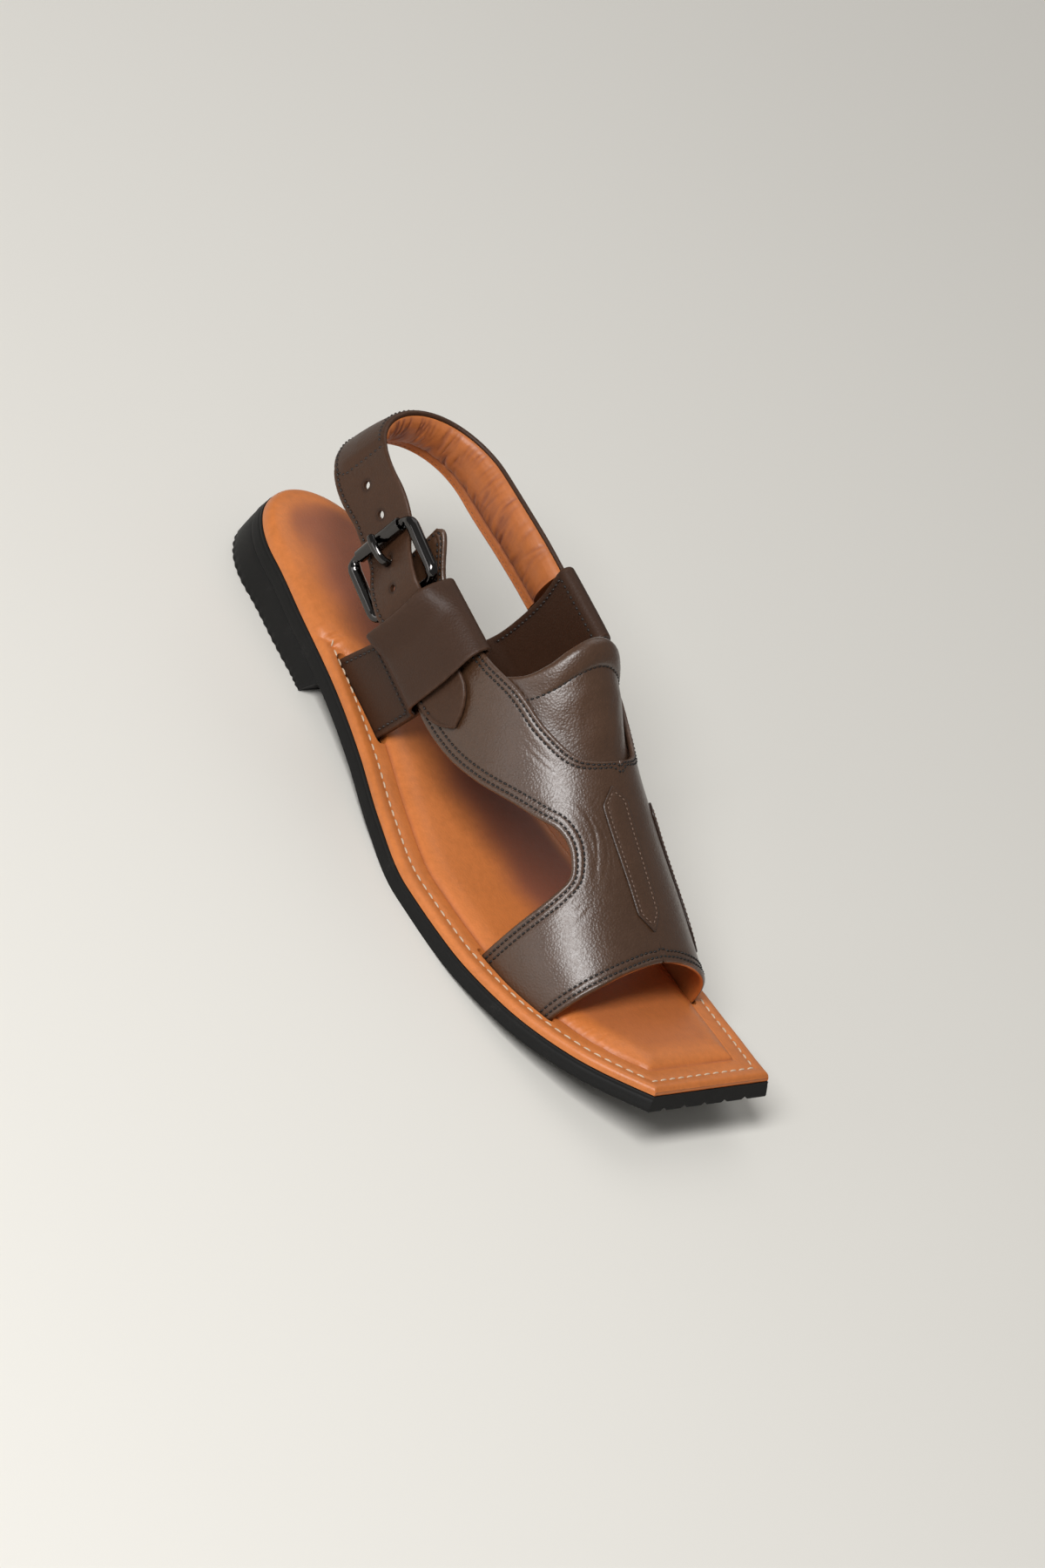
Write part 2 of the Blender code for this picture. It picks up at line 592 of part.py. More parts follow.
def add_vamp():
    """Front band, instep and both wings as one sheet of leather, open over toes, sides and throat."""
    points, faces = [], []
    for side_sign, last_row in ((-1, LATERAL_ROWS), (1, MEDIAL_ROWS)):
        station, turn = vamp_grid(side_sign, last_row)
        first = sum(len(block) for block in points)
        block = sheet_faces(*station.shape, first)
        faces += block if side_sign < 0 else [face[::-1] for face in block]
        points.append(last_surface(station, turn).reshape(-1, 3))
    mesh = bpy.data.meshes.new("vamp")
    mesh.from_pydata((np.concatenate(points) * MM).tolist(), [], faces)
    work = bmesh.new()
    work.from_mesh(mesh)
    bmesh.ops.remove_doubles(work, verts=work.verts, dist=2e-6)
    bmesh.ops.recalc_face_normals(work, faces=work.faces)
    crown = max(work.faces, key=lambda face: face.calc_center_median().z)
    if crown.normal.z < 0:
        bmesh.ops.reverse_faces(work, faces=work.faces)
    work.to_mesh(mesh)
    work.free()
    mesh.shade_smooth()
    made = add_object("vamp", mesh, "brown leather", BROWN_LEATHER, PARTS)
    thicken(made, VAMP_WALL, 1.0)


def add_patch(patch):
    """A raised hexagon of leather on the vamp, between two shells of the last."""
    share = np.linspace(0, 1, 13)[:, None]
    across = np.linspace(-1, 1, 4)[None, :]
    station = patch.rear_station + (patch.front_station - patch.rear_station) * share + 0 * across
    near_tip = np.minimum(share, 1 - share) * PATCH_LENGTH
    wide = PATCH_HALF_WIDE * np.clip(near_tip / PATCH_TIP, 0.06, 1)
    middle = patch.rear_turn + (patch.front_turn - patch.rear_turn) * share
    turn = middle + across * wide * PATCH_TURN_PER_MM
    outer = shell(station, turn, np.full(station.shape, VAMP_WALL + GAP + PATCH_WALL))
    inner = shell(station, turn, np.full(station.shape, VAMP_WALL + GAP))
    add_object(patch.name, slab(patch.name, outer, inner), "brown leather", BROWN_LEATHER, PARTS)


def throat_turn(station):
    """Turn of the vamp's throat edge at a station."""
    rows = VAMP[THROAT_ROW:][::-1]
    return np.interp(station, column(rows, "outer_station"), column(rows, "outer_turn"))


def add_tongue():
    """Padded tongue under the throat, with a rolled top edge."""
    across = np.linspace(-1, 1, 15)[None, :]
    down = np.array(TONGUE_ROWS)[:, None]
    top = smooth(np.abs(across), column(TONGUE_TOP, "across"), column(TONGUE_TOP, "station"))
    station = top + (TONGUE_FOOT - top) * down
    turn = across * along(TONGUE, "turn", station)
    free = np.clip(1 - (np.abs(turn) / np.maximum(throat_turn(station) - 0.04, 0.02)) ** 2, 0, 1)
    free = free * (1 - ease(station, *TONGUE_UNDER))
    roll = np.clip(1 - ((down - ROLL_PLACE) / ROLL_REACH) ** 2, 0, 1)
    outer = shell(station, turn, free * (TONGUE_SWELL + TONGUE_ROLL * roll) - TONGUE_CLEAR)
    edge_thin = 1 - 0.45 * np.clip(1 - down / ROLL_PLACE, 0, 1)
    inner = shell(station, turn, -TONGUE_CLEAR - TONGUE_WALL * edge_thin + 0 * across)
    add_object("tongue", slab("tongue", outer, inner), "brown leather", BROWN_LEATHER, PARTS)


def add_loop(side_sign, word):
    """A strip doubled over the wing and the strap, with both feet in one slit."""
    index = np.arange(len(LOOP), dtype=float)
    fine = np.linspace(0, len(LOOP) - 1, 2 * len(LOOP) - 1)
    low = smooth(fine, index, column(LOOP, "height"))[:, None]
    offset = smooth(fine, index, column(LOOP, word))[:, None]
    share = np.linspace(0, 1, 6)[None, :]
    heights = column(LOOP_EDGES, "height")
    rear = smooth(low, heights, column(LOOP_EDGES, "rear"))
    front = smooth(low, heights, column(LOOP_EDGES, "front"))
    station = rear + (front - rear) * share + LOOP_SHIFT[word]
    stretch = (LOOP_TOP[word] - LOOP_SPLIT) / (LOOP_TOP["lateral"] - LOOP_SPLIT)
    height = low + np.maximum(low - LOOP_SPLIT, 0) * (stretch - 1) + 0 * share
    swell = LOOP_SWELL[word] * (1 - ease(share, 0, 0.4)) * ease(offset, 3.5, 8.0)
    points = beside(station, height, side_sign, offset + swell)
    mesh = mesh_from("loop_" + word, points.reshape(-1, 3), sheet_faces(*points.shape[:2]))
    made = add_object("loop_" + word, mesh, "brown leather", BROWN_LEATHER, PARTS)
    thicken(made, LOOP_WALL, 0.0)


# Heel strap
def strap_row(row, side_sign):
    """Station, side, height, half width and lean of the strap where it follows the last's wall."""
    wall = wall_side(row.station, row.height, side_sign)
    above = wall_side(row.station, row.height + LEAN_REACH, side_sign)
    below = wall_side(row.station, row.height - LEAN_REACH, side_sign)
    lean = (above - below) / (2 * LEAN_REACH)
    return row.station, side_sign * (wall + row.offset), row.height, row.half_wide, lean


def strap_line():
    """Rows of the heel strap's middle line from its tip round the heel to its medial end."""
    rows = [strap_row(row, -1) for row in STRAP_LATERAL]
    start, end = strap_row(STRAP_LATERAL[-1], -1), strap_row(STRAP_MEDIAL[0], 1)
    for angle in np.radians(np.linspace(-90, 90, STRAP_ARC_STEPS + 1)):
        near = start if angle < 0 else end
        back = max(math.cos(angle), 0.0) ** (2 / STRAP_ARC_POWER)
        sideways = abs(math.sin(angle)) ** (2 / STRAP_ARC_POWER)
        station = STRAP_TURN - (STRAP_TURN - STRAP_BACK) * back
        height = STRAP_BACK_HEIGHT + (near[2] - STRAP_BACK_HEIGHT) * (1 - back)
        wide = STRAP_BACK_HALF + (near[3] - STRAP_BACK_HALF) * ease(1 - back, 0.2, 1)
        lean = near[4] * sideways + STRAP_BACK_LEAN * back
        rows.append((station, near[1] * sideways, height, wide, lean))
    rows += [strap_row(row, 1) for row in STRAP_MEDIAL]
    return np.array(rows, float)


def strap_frame(rows):
    """Model points with the strap's forward, up and outward directions at each row."""
    middle = place(rows[:, 0], rows[:, 1], rows[:, 2])
    forward = np.gradient(middle, axis=0)
    forward /= np.linalg.norm(forward, axis=1, keepdims=True)
    level = np.cross(np.array([0.0, 0.0, 1.0]), forward)
    level /= np.linalg.norm(level, axis=1, keepdims=True)
    up = np.array([0.0, 0.0, 1.0]) + level * rows[:, 4:5]
    up -= forward * (forward * up).sum(1, keepdims=True)
    up /= np.linalg.norm(up, axis=1, keepdims=True)
    return middle, forward, up, np.cross(up, forward)


def add_heel_strap():
    """The long outer strap: pointed tip, punched holes, round the heel, into the medial loop."""
    rows = strap_line()
    middle, forward, up, out = strap_frame(rows)
    wide = rows[:, 3]
    section = ((-1, -1), (-1, 1), (-0.5, 1), (0.5, 1), (1, 1), (1, -1), (0.5, -1), (-0.5, -1))
    rings = []
    for k in range(len(rows)):
        ring = [middle[k] + up[k] * a * wide[k] + out[k] * b * STRAP_WALL / 2 for a, b in section]
        rings.append(np.array(ring))
    made = add_object("heel_strap", loft("heel_strap", rings), "brown leather", BROWN_LEATHER, PARTS)
    lateral = slice(0, len(STRAP_LATERAL) + STRAP_ARC_STEPS // 2)
    stations = rows[lateral, 0][::-1]
    boxes = []
    for hole in HOLES:
        k = np.abs(rows[lateral, 0] - hole.station).argmin()
        centre = np.array([np.interp(hole.station, stations, middle[lateral, i][::-1]) for i in range(3)])
        corners = []
        for depth in (-2 * STRAP_WALL, 2 * STRAP_WALL):
            for a, b in ((-1, -1), (1, -1), (1, 1), (-1, 1)):
                step = forward[k] * a * hole.half_long + up[k] * b * hole.half_wide
                corners.append(centre + step + out[k] * depth)
        boxes.append(np.array(corners))
    cut(made, joined_boxes("strap holes", boxes))


def add_strap_pad():
    """Tan lining inside the strap: a flat lower margin and a padded roll above it."""
    rows = strap_line()
    middle, forward, up, out = strap_frame(rows)
    first = len(STRAP_LATERAL) + PAD_FIRST_STEP
    rings = []
    for k in range(first, len(rows) - PAD_LAST_ROWS):
        wide = rows[k, 3] - PAD_INSET
        crease = PAD_MARGIN - wide
        face = middle[k] - out[k] * (STRAP_WALL / 2 + GAP)
        ring = [face - up[k] * wide - out[k], face + up[k] * crease - out[k] * 1.2]
        for swell in LINING:
            ring.append(face + up[k] * (crease + (wide - crease) * swell.above) - out[k] * swell.depth)
        ring += [face + up[k] * wide * a for a in (1, 0.5, -0.5, -1)]
        rings.append(np.array(ring))
    add_object("strap_pad", loft("strap_pad", rings), "tan leather", TAN_LEATHER, PARTS)


# Buckle
def buckle_axes():
    """Centres of the two bars, in model millimetres, with the buckle's three directions."""
    roller, pivot = (beside(bar.station, bar.height, -1, bar.offset) for bar in (ROLLER_BAR, PIVOT_BAR))
    forward = (pivot - roller) / np.linalg.norm(pivot - roller)
    centre = (ROLLER_BAR.station + PIVOT_BAR.station) / 2
    high, low = (beside(centre, PIVOT_BAR.height + step, -1, 0.0) for step in (LEAN_REACH, -LEAN_REACH))
    up = high - low - forward * (forward @ (high - low))
    up /= np.linalg.norm(up)
    return roller, pivot, forward, up, np.cross(forward, up)


def add_wire(name, points, radii, cyclic):
    """A round metal wire along points, each with its own radius, as a bevelled curve."""
    curve = bpy.data.curves.new(name, "CURVE")
    curve.dimensions = "3D"
    curve.bevel_depth = MM
    curve.bevel_resolution = 2
    curve.use_fill_caps = True
    spline = curve.splines.new("POLY")
    spline.points.add(len(points) - 1)
    spline.use_cyclic_u = cyclic
    for point, spot, radius in zip(spline.points, points, radii):
        point.co = (*(np.asarray(spot) * MM), 1.0)
        point.radius = radius
    return add_object(name, curve, "gunmetal", GUNMETAL, PARTS)


def add_buckle_frame():
    """Rounded rectangle of wire round both bars, thinner along the bars."""
    roller, pivot, forward, up, _ = buckle_axes()
    centre = (roller + pivot) / 2
    half_long = np.linalg.norm(pivot - roller) / 2
    points, radii = [], []
    for a, b, start in ((1, 1, 0), (-1, 1, 90), (-1, -1, 180), (1, -1, 270)):
        for angle in np.radians(np.linspace(start, start + 90, 5)):
            long = a * (half_long - BUCKLE_CORNER) + BUCKLE_CORNER * math.cos(angle)
            wide = b * (BUCKLE_HALF_WIDE - BUCKLE_CORNER) + BUCKLE_CORNER * math.sin(angle)
            points.append(centre + forward * long + up * wide)
            radii.append(BUCKLE_WIRE + (BUCKLE_BAR - BUCKLE_WIRE) * math.cos(angle) ** 2)
    add_wire("buckle_frame", points, radii, True)


def add_roller():
    """Tube that turns on the buckle's rear bar, as a turned profile."""
    roller, _, forward, up, out = buckle_axes()
    near = BUCKLE_BAR + GAP
    far = near + ROLLER_WALL
    half = ROLLER_HALF_LONG
    outline = [(far, half), (far, -half), (near, -half), (near, half)]
    mesh = bpy.data.meshes.new("buckle_roller")
    mesh.from_pydata([(r * MM, 0, z * MM) for r, z in outline], [(0, 1), (1, 2), (2, 3), (3, 0)], [])
    made = add_object("buckle_roller", mesh, "gunmetal", GUNMETAL, PARTS)
    spin = made.modifiers.new("turn", "SCREW")
    spin.steps = 20
    spin.render_steps = 20
    spin.use_merge_vertices = True
    spin.merge_threshold = 1e-6
    axes = Matrix((forward, -out, up)).transposed().to_4x4()
    made.matrix_world = Matrix.Translation(Vector(roller * MM)) @ axes


def add_prong():
    """Prong hooked round the pivot bar, up through the strap's hole and over the roller."""
    roller, pivot, forward, _, out = buckle_axes()
    hook = BUCKLE_BAR + GAP + PRONG_WIRE
    points, radii = [], []
    for angle in np.radians(np.linspace(100, -90, 12)):
        points.append(pivot + forward * hook * math.cos(angle) + out * hook * math.sin(angle))
        radii.append(PRONG_WIRE)
    rest = BUCKLE_BAR + 2 * GAP + ROLLER_WALL + PRONG_TIP_WIRE
    length = float((pivot - roller) @ forward)
    over = [Bend(length, rest, PRONG_TIP_WIRE), Bend(length + 2.2, rest - 0.4, PRONG_TIP_WIRE)]
    for bend in PRONG + over:
        points.append(pivot - forward * bend.back + out * bend.out)
        radii.append(bend.wire)
    add_wire("buckle_prong", points, radii, False)


def add_tab():
    """Leather tab folded round the pivot bar, its two layers running into the loop."""
    bar = PIVOT_BAR
    ring = BUCKLE_BAR + 2 * GAP + TAB_WALL / 2
    low = VAMP_WALL + GAP + TAB_WALL / 2
    high = low + TAB_WALL + GAP
    path = [(station, low) for station in np.linspace(TAB_FRONT, bar.station + ring + 1.0, 6)]
    for angle in np.radians(np.linspace(-80, -280, 11)):
        path.append((bar.station + ring * math.cos(angle), bar.offset + ring * math.sin(angle)))
    path += [(bar.station + fall.forward, high + fall.above) for fall in TAB_FALL]
    path += [(station, high) for station in np.linspace(bar.station + 10.0, TAB_FRONT, 5)]
    station, offset = (np.array(values)[:, None] for values in zip(*path))
    across = np.linspace(-TAB_HALF_WIDE, TAB_HALF_WIDE, 5)[None, :]
    slope = (PIVOT_BAR.height - ROLLER_BAR.height) / (PIVOT_BAR.station - ROLLER_BAR.station)
    middle = bar.height + slope * (station - bar.station)
    points = beside(station - slope * across, middle + across, -1, offset + 0 * across)
    mesh = mesh_from("buckle_tab", points.reshape(-1, 3), sheet_faces(*points.shape[:2]))
    made = add_object("buckle_tab", mesh, "brown leather", BROWN_LEATHER, PARTS)
    thicken(made, TAB_WALL, 0.0)
    _, pivot, forward, up, out = buckle_axes()
    corners = []
    for depth in (-3 * ring, 3 * ring):
        for a, b in ((-1, -1), (1, -1), (1, 1), (-1, 1)):
            corners.append(pivot + forward * a * 3 * ring + up * b * PRONG_SLOT / 2 + out * depth)
    cut(made, joined_boxes("prong slot", [np.array(corners)]))


for old in list(bpy.data.objects):
    bpy.data.objects.remove(old)
PARTS = bpy.data.collections.new("kohati_chappal")
CUTTERS = bpy.data.collections.new("cutters")
bpy.context.scene.collection.children.link(PARTS)
bpy.context.scene.collection.children.link(CUTTERS)

add_outsole()
add_heel()
add_insole()
add_vamp()
for row in PATCHES:
    add_patch(row)
add_tongue()
for sign, word in ((-1, "lateral"), (1, "medial")):
    add_loop(sign, word)
add_heel_strap()
add_strap_pad()
add_buckle_frame()
add_roller()
add_prong()
add_tab()
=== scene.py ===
# %% [markdown]
# # A kohati chappal, dressed around its CAD model
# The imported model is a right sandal: a rubber sole, a tan footbed, a dark brown upper held in slits, and a
# heel strap with a roller buckle. The CAD solids are plain and few-sided. This lesson draws each visible
# piece again as a fine surface from the same numbers, so that edges are round, seams are sewn and pads look
# soft.

# %% Load the frame
import json
import math

import bmesh
import bpy
import numpy as np
from mathutils import Matrix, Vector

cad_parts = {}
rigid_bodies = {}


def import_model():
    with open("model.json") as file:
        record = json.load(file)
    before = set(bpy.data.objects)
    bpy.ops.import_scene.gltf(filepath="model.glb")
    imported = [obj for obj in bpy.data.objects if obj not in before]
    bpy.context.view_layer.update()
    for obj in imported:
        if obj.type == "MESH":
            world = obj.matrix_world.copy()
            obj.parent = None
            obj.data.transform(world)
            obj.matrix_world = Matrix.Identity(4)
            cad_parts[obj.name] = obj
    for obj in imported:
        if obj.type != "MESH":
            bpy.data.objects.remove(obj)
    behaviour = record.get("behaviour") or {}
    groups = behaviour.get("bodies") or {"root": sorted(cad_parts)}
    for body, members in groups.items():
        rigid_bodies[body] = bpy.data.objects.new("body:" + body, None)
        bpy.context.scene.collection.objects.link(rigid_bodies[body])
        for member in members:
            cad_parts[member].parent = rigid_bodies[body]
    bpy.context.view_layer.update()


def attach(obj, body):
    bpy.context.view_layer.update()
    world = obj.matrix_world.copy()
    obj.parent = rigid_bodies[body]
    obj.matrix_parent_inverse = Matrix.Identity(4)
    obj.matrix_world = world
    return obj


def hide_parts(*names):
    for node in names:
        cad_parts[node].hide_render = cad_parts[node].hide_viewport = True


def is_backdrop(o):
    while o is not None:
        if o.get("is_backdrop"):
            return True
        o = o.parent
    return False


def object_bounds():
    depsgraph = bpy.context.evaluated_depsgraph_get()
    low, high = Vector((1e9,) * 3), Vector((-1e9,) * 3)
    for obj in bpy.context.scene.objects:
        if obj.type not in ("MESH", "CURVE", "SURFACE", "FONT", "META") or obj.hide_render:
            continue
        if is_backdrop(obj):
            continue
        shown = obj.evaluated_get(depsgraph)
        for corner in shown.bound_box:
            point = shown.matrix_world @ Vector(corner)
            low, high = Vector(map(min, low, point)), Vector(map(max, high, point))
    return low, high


for old in list(bpy.data.objects):
    bpy.data.objects.remove(old)
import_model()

# %% [markdown]
# ## Camera
# The photo looks down at the sandal's outer side, and its frame is rolled, so that the toe points to the
# lower right. A camera can be aimed with a Track To constraint, but that keeps it level. Here its three
# axes are worked out from azimuth, elevation and roll, and go straight into its matrix.

# %% Camera at the photo's angle
MM = 0.001
AZIMUTH, ELEVATION, ROLL = math.radians(57.681), math.radians(33.993), math.radians(36.325)
CAMERA_DISTANCE = 2427.9
PIXELS_PER_MM = 3.284
PHOTO_HEIGHT = 1800
SENSOR = 36.0
UPWARDS = np.array([0.0, 0.0, 1.0])
AIM = 30.0 * UPWARDS
SLIDE_RIGHT, SLIDE_UP = -9.383, 5.846

toward_eye = np.array([
    math.cos(ELEVATION) * math.cos(AZIMUTH), -math.cos(ELEVATION) * math.sin(AZIMUTH), math.sin(ELEVATION)])
level = np.cross(UPWARDS, toward_eye)
level /= np.linalg.norm(level)
upright = np.cross(toward_eye, level)
image_right = math.cos(ROLL) * level + math.sin(ROLL) * upright
image_up = math.cos(ROLL) * upright - math.sin(ROLL) * level


def axes_matrix(x_axis, y_axis, z_axis, spot):
    """Object matrix whose columns are three axes and a place in millimetres."""
    matrix = np.eye(4)
    matrix[:3, :3] = np.stack([x_axis, y_axis, z_axis], axis=1)
    matrix[:3, 3] = np.asarray(spot) * MM
    return Matrix(matrix.tolist())


def add_object(name, data):
    """New object of the scene that shows this data."""
    made = bpy.data.objects.new(name, data)
    bpy.context.scene.collection.objects.link(made)
    return made


camera_data = bpy.data.cameras.new("photo camera")
camera_data.sensor_width = SENSOR
camera_data.lens = PIXELS_PER_MM * CAMERA_DISTANCE * SENSOR / PHOTO_HEIGHT
camera_data.clip_start, camera_data.clip_end = 0.05, 50.0
camera = add_object("photo camera", camera_data)
eye = AIM + CAMERA_DISTANCE * toward_eye - SLIDE_RIGHT * image_right - SLIDE_UP * image_up
camera.matrix_world = axes_matrix(image_right, image_up, toward_eye, eye)
bpy.context.scene.camera = camera
print("camera lens in mm:", round(camera_data.lens, 1))

# %% [markdown]
# ## Shader sums
# A finish such as leather is a sum of small patterns. Wiring those by hand takes many lines, so one small
# class stands for a socket: Python's own operators add Math nodes, and `node` adds any other kind.


# %% A socket that can be used in sums
class Shade:
    """One output of a shader node, for use in Python expressions."""

    def __init__(self, tree, socket=None):
        self.tree, self.socket = tree, socket

    def node(self, kind, settings=None, sockets=None, output=0):
        """Adds a node: its settings come first, then a value or a link for each named socket."""
        made = self.tree.nodes.new("ShaderNode" + kind)
        for name, value in (settings or {}).items():
            if name == "stops":
                ramp = made.color_ramp.elements
                for k, (where, colour) in enumerate(value):
                    stop = ramp[k] if k < 2 else ramp.new(where)
                    stop.position, stop.color = where, (*colour, 1.0)
            else:
                setattr(made, name, value)
        for name, value in (sockets or {}).items():
            if isinstance(value, Shade):
                self.tree.links.new(value.socket, made.inputs[name])
            else:
                made.inputs[name].default_value = value
        return Shade(self.tree, made.outputs[output])

    def sum(self, operation, first, second=0.0):
        return self.node("Math", {"operation": operation}, {0: first, 1: second})

    def __add__(self, other):
        return self.sum("ADD", self, other)

    def __sub__(self, other):
        return self.sum("SUBTRACT", self, other)

    def __mul__(self, other):
        return self.sum("MULTIPLY", self, other)

    def between(self, low, high):
        """Smooth step from 0 at low to 1 at high."""
        limits = {"Value": self, "From Min": low, "From Max": high}
        return self.node("MapRange", {"interpolation_type": "SMOOTHSTEP"}, limits)

    def tint(self, first, second):
        """Colour from first to second as this value goes from 0 to 1."""
        paint = {name: value if isinstance(value, Shade) else (*value, 1.0)
                 for name, value in ((6, first), (7, second))}
        return self.node("Mix", {"data_type": "RGBA"}, {"Factor": self, **paint}, 2)


def new_finish(name):
    """A material with its Principled shader and a socket of Object coordinates."""
    made = bpy.data.materials.new(name)
    made.use_nodes = True
    spot = Shade(made.node_tree).node("TexCoord", output="Object")
    return made, made.node_tree.nodes["Principled BSDF"], spot


def wire(shader, links, constants):
    """Links what varies over the surface into a shader, and sets what is the same all over it."""
    for name, value in links.items():
        value.tree.links.new(value.socket, shader.inputs[name])
    for name, value in constants.items():
        shader.inputs[name].default_value = value


# %% [markdown]
# ## Leather
# All leathers are smooth hides: a waxed brown for the upper, a matt brown for loops, strap and tab, and a
# tan. Close up they have pores and fine wrinkles under a soft gloss, slow changes of tone, edges rubbed
# lighter, and darker tone where the maker burnished them. Grain is a bump of small cells with noise. Rubbed
# edges and burnished places come from attributes that each piece carries, because they follow its shape.
# The shade attribute also carries painted shade: darker seam grooves, creases, rims, pleats and linings.


# %% Leather finishes
def leather(name, colour, deep, rubbed, rough, grain_per_metre, grain_deep, coat, shine):
    """Leather with cell grain; attributes shade and rubbed take the colour to deep and to rubbed."""
    made, shader, spot = new_finish(name)
    shade = spot.node("Attribute", {"attribute_name": "shade"}, output="Fac")
    edge = spot.node("Attribute", {"attribute_name": "rubbed"}, output="Fac")
    cloud = spot.node("TexNoise", None, {"Vector": spot, "Scale": 28.0, "Detail": 4.0, "Roughness": 0.6})
    fleck = spot.node("TexNoise", None, {"Vector": spot, "Scale": 420.0, "Detail": 3.0, "Roughness": 0.65})
    cells = spot.node("TexVoronoi", {"feature": "SMOOTH_F1"},
                      {"Vector": spot, "Scale": grain_per_metre, "Smoothness": 0.35, "Randomness": 1.0})
    wrinkle = spot.node("TexNoise", {"noise_type": "RIDGED_MULTIFRACTAL"},
                        {"Vector": spot, "Scale": 190.0, "Detail": 3.0, "Roughness": 0.5})
    # The shade attribute brings in real burnish and painted shade alike; both take the colour towards deep.
    burnish_and_shade = (shade + (cloud - 0.5) * 0.55 * shade.between(0.02, 0.5)).between(0.0, 1.0)
    tone = (cloud * 0.6 + fleck * 0.4).between(0.3, 0.7)
    light = tuple(min(1.0, c * 1.12) for c in colour)
    dim = tuple(c * 0.86 for c in colour)
    paint = burnish_and_shade.tint(tone.tint(dim, light), deep)
    paint = (edge * 0.7 * fleck.between(0.25, 0.6)).tint(paint, rubbed)
    height = cells * 0.7 + fleck * 0.5 + wrinkle * 0.12
    bump = spot.node("Bump", None, {"Strength": 1.0, "Distance": grain_deep * MM, "Height": height})
    gloss = (cloud - 0.5) * 0.16 + (fleck - 0.5) * 0.22 + rough + shade * 0.12
    wire(shader, {"Base Color": paint, "Roughness": gloss, "Normal": bump},
         {"Coat Weight": coat, "Coat Roughness": 0.31, "Specular IOR Level": shine})
    return made


BROWN = leather(
    "brown leather", colour=(0.062, 0.028, 0.013), deep=(0.020, 0.008, 0.004),
    rubbed=(0.090, 0.045, 0.026), rough=0.37, grain_per_metre=1250.0, grain_deep=0.150, coat=0.38, shine=0.55)
MATT_BROWN = leather(
    "matt brown leather", colour=(0.052, 0.023, 0.0115), deep=(0.020, 0.008, 0.004),
    rubbed=(0.085, 0.043, 0.026), rough=0.46, grain_per_metre=1250.0, grain_deep=0.110, coat=0.04, shine=0.24)
TAN = leather(
    "tan leather", colour=(0.560, 0.172, 0.041), deep=(0.270, 0.084, 0.042),
    rubbed=(0.570, 0.200, 0.066), rough=0.44, grain_per_metre=1150.0, grain_deep=0.070, coat=0.10, shine=0.40)
print("leathers:", BROWN.name, MATT_BROWN.name, TAN.name)

# %% [markdown]
# ## Rubber, metal and thread
# The sole is matt black rubber with a moulded stipple and faint dusty scuffs. The buckle is plated a near
# black gunmetal with a sharp gloss. Thread is waxed: dark on vamp and tongue, umber on loops and strap,
# pale brown on the patches, tan on the strap's pad and cream round the footbed.


# %% Rubber, gunmetal and thread finishes
def rubber():
    """Black rubber: stipple bump, and dusty scuffs where two noises meet."""
    made, shader, spot = new_finish("black rubber")
    stipple = spot.node("TexNoise", None, {"Vector": spot, "Scale": 2200.0, "Detail": 2.0})
    dust = spot.node("TexNoise", None, {"Vector": spot, "Scale": 60.0, "Detail": 6.0, "Roughness": 0.7})
    scuff = dust.between(0.52, 0.74) * stipple.between(0.4, 0.65)
    bump = spot.node("Bump", None, {"Strength": 0.6, "Distance": 0.07 * MM, "Height": stipple + dust * 0.5})
    wire(shader, {"Base Color": scuff.tint((0.0042, 0.0040, 0.0038), (0.019, 0.018, 0.0165)),
                  "Roughness": dust * 0.25 + 0.46, "Normal": bump}, {"Specular IOR Level": 0.26})
    return made


def gunmetal():
    """Dark plated metal with fine polishing marks."""
    made, shader, spot = new_finish("gunmetal")
    marks = spot.node("TexNoise", None, {"Vector": spot, "Scale": 900.0, "Detail": 4.0, "Roughness": 0.7})
    smudge = spot.node("TexNoise", None, {"Vector": spot, "Scale": 120.0, "Detail": 2.0})
    bump = spot.node("Bump", None, {"Strength": 0.02, "Distance": 0.01 * MM, "Height": marks})
    wire(shader, {"Base Color": smudge.tint((0.060, 0.057, 0.056), (0.085, 0.081, 0.079)),
                  "Roughness": marks * 0.02 + smudge * 0.05 + 0.07, "Normal": bump}, {"Metallic": 1.0})
    return made


def thread(name, colour, rough):
    """Waxed thread: short twist marks as noise in colour and bump."""
    made, shader, spot = new_finish(name)
    twist = spot.node("TexNoise", None, {"Vector": spot, "Scale": 2600.0, "Detail": 2.0})
    bump = spot.node("Bump", None, {"Strength": 0.5, "Distance": 0.06 * MM, "Height": twist})
    wire(shader, {"Base Color": twist.tint(tuple(c * 0.7 for c in colour), colour),
                  "Roughness": twist * 0.2 + rough, "Normal": bump}, {})
    return made


RUBBER, GUNMETAL = rubber(), gunmetal()
DARK_THREAD = thread("dark thread", (0.008, 0.0055, 0.0045), 0.45)
PALE_THREAD = thread("pale brown thread", (0.170, 0.105, 0.075), 0.45)
UMBER_THREAD = thread("umber thread", (0.016, 0.010, 0.008), 0.35)
TAN_THREAD = thread("tan thread", (0.300, 0.095, 0.035), 0.45)
CREAM_THREAD = thread("cream thread", (0.720, 0.560, 0.400), 0.45)
print("finishes:", len(bpy.data.materials))

# %% [markdown]
# ## The sandal's own coordinates
# A shoemaker measures along the sole, across it and up from it. So `station` runs along the top of the
# rubber from the heel's back, `side` runs across (minus is the outer side) and `height` stands square to
# the sole. `place` lays these on the curved sole. Tables of a few measured rows are read with smooth
# curves.


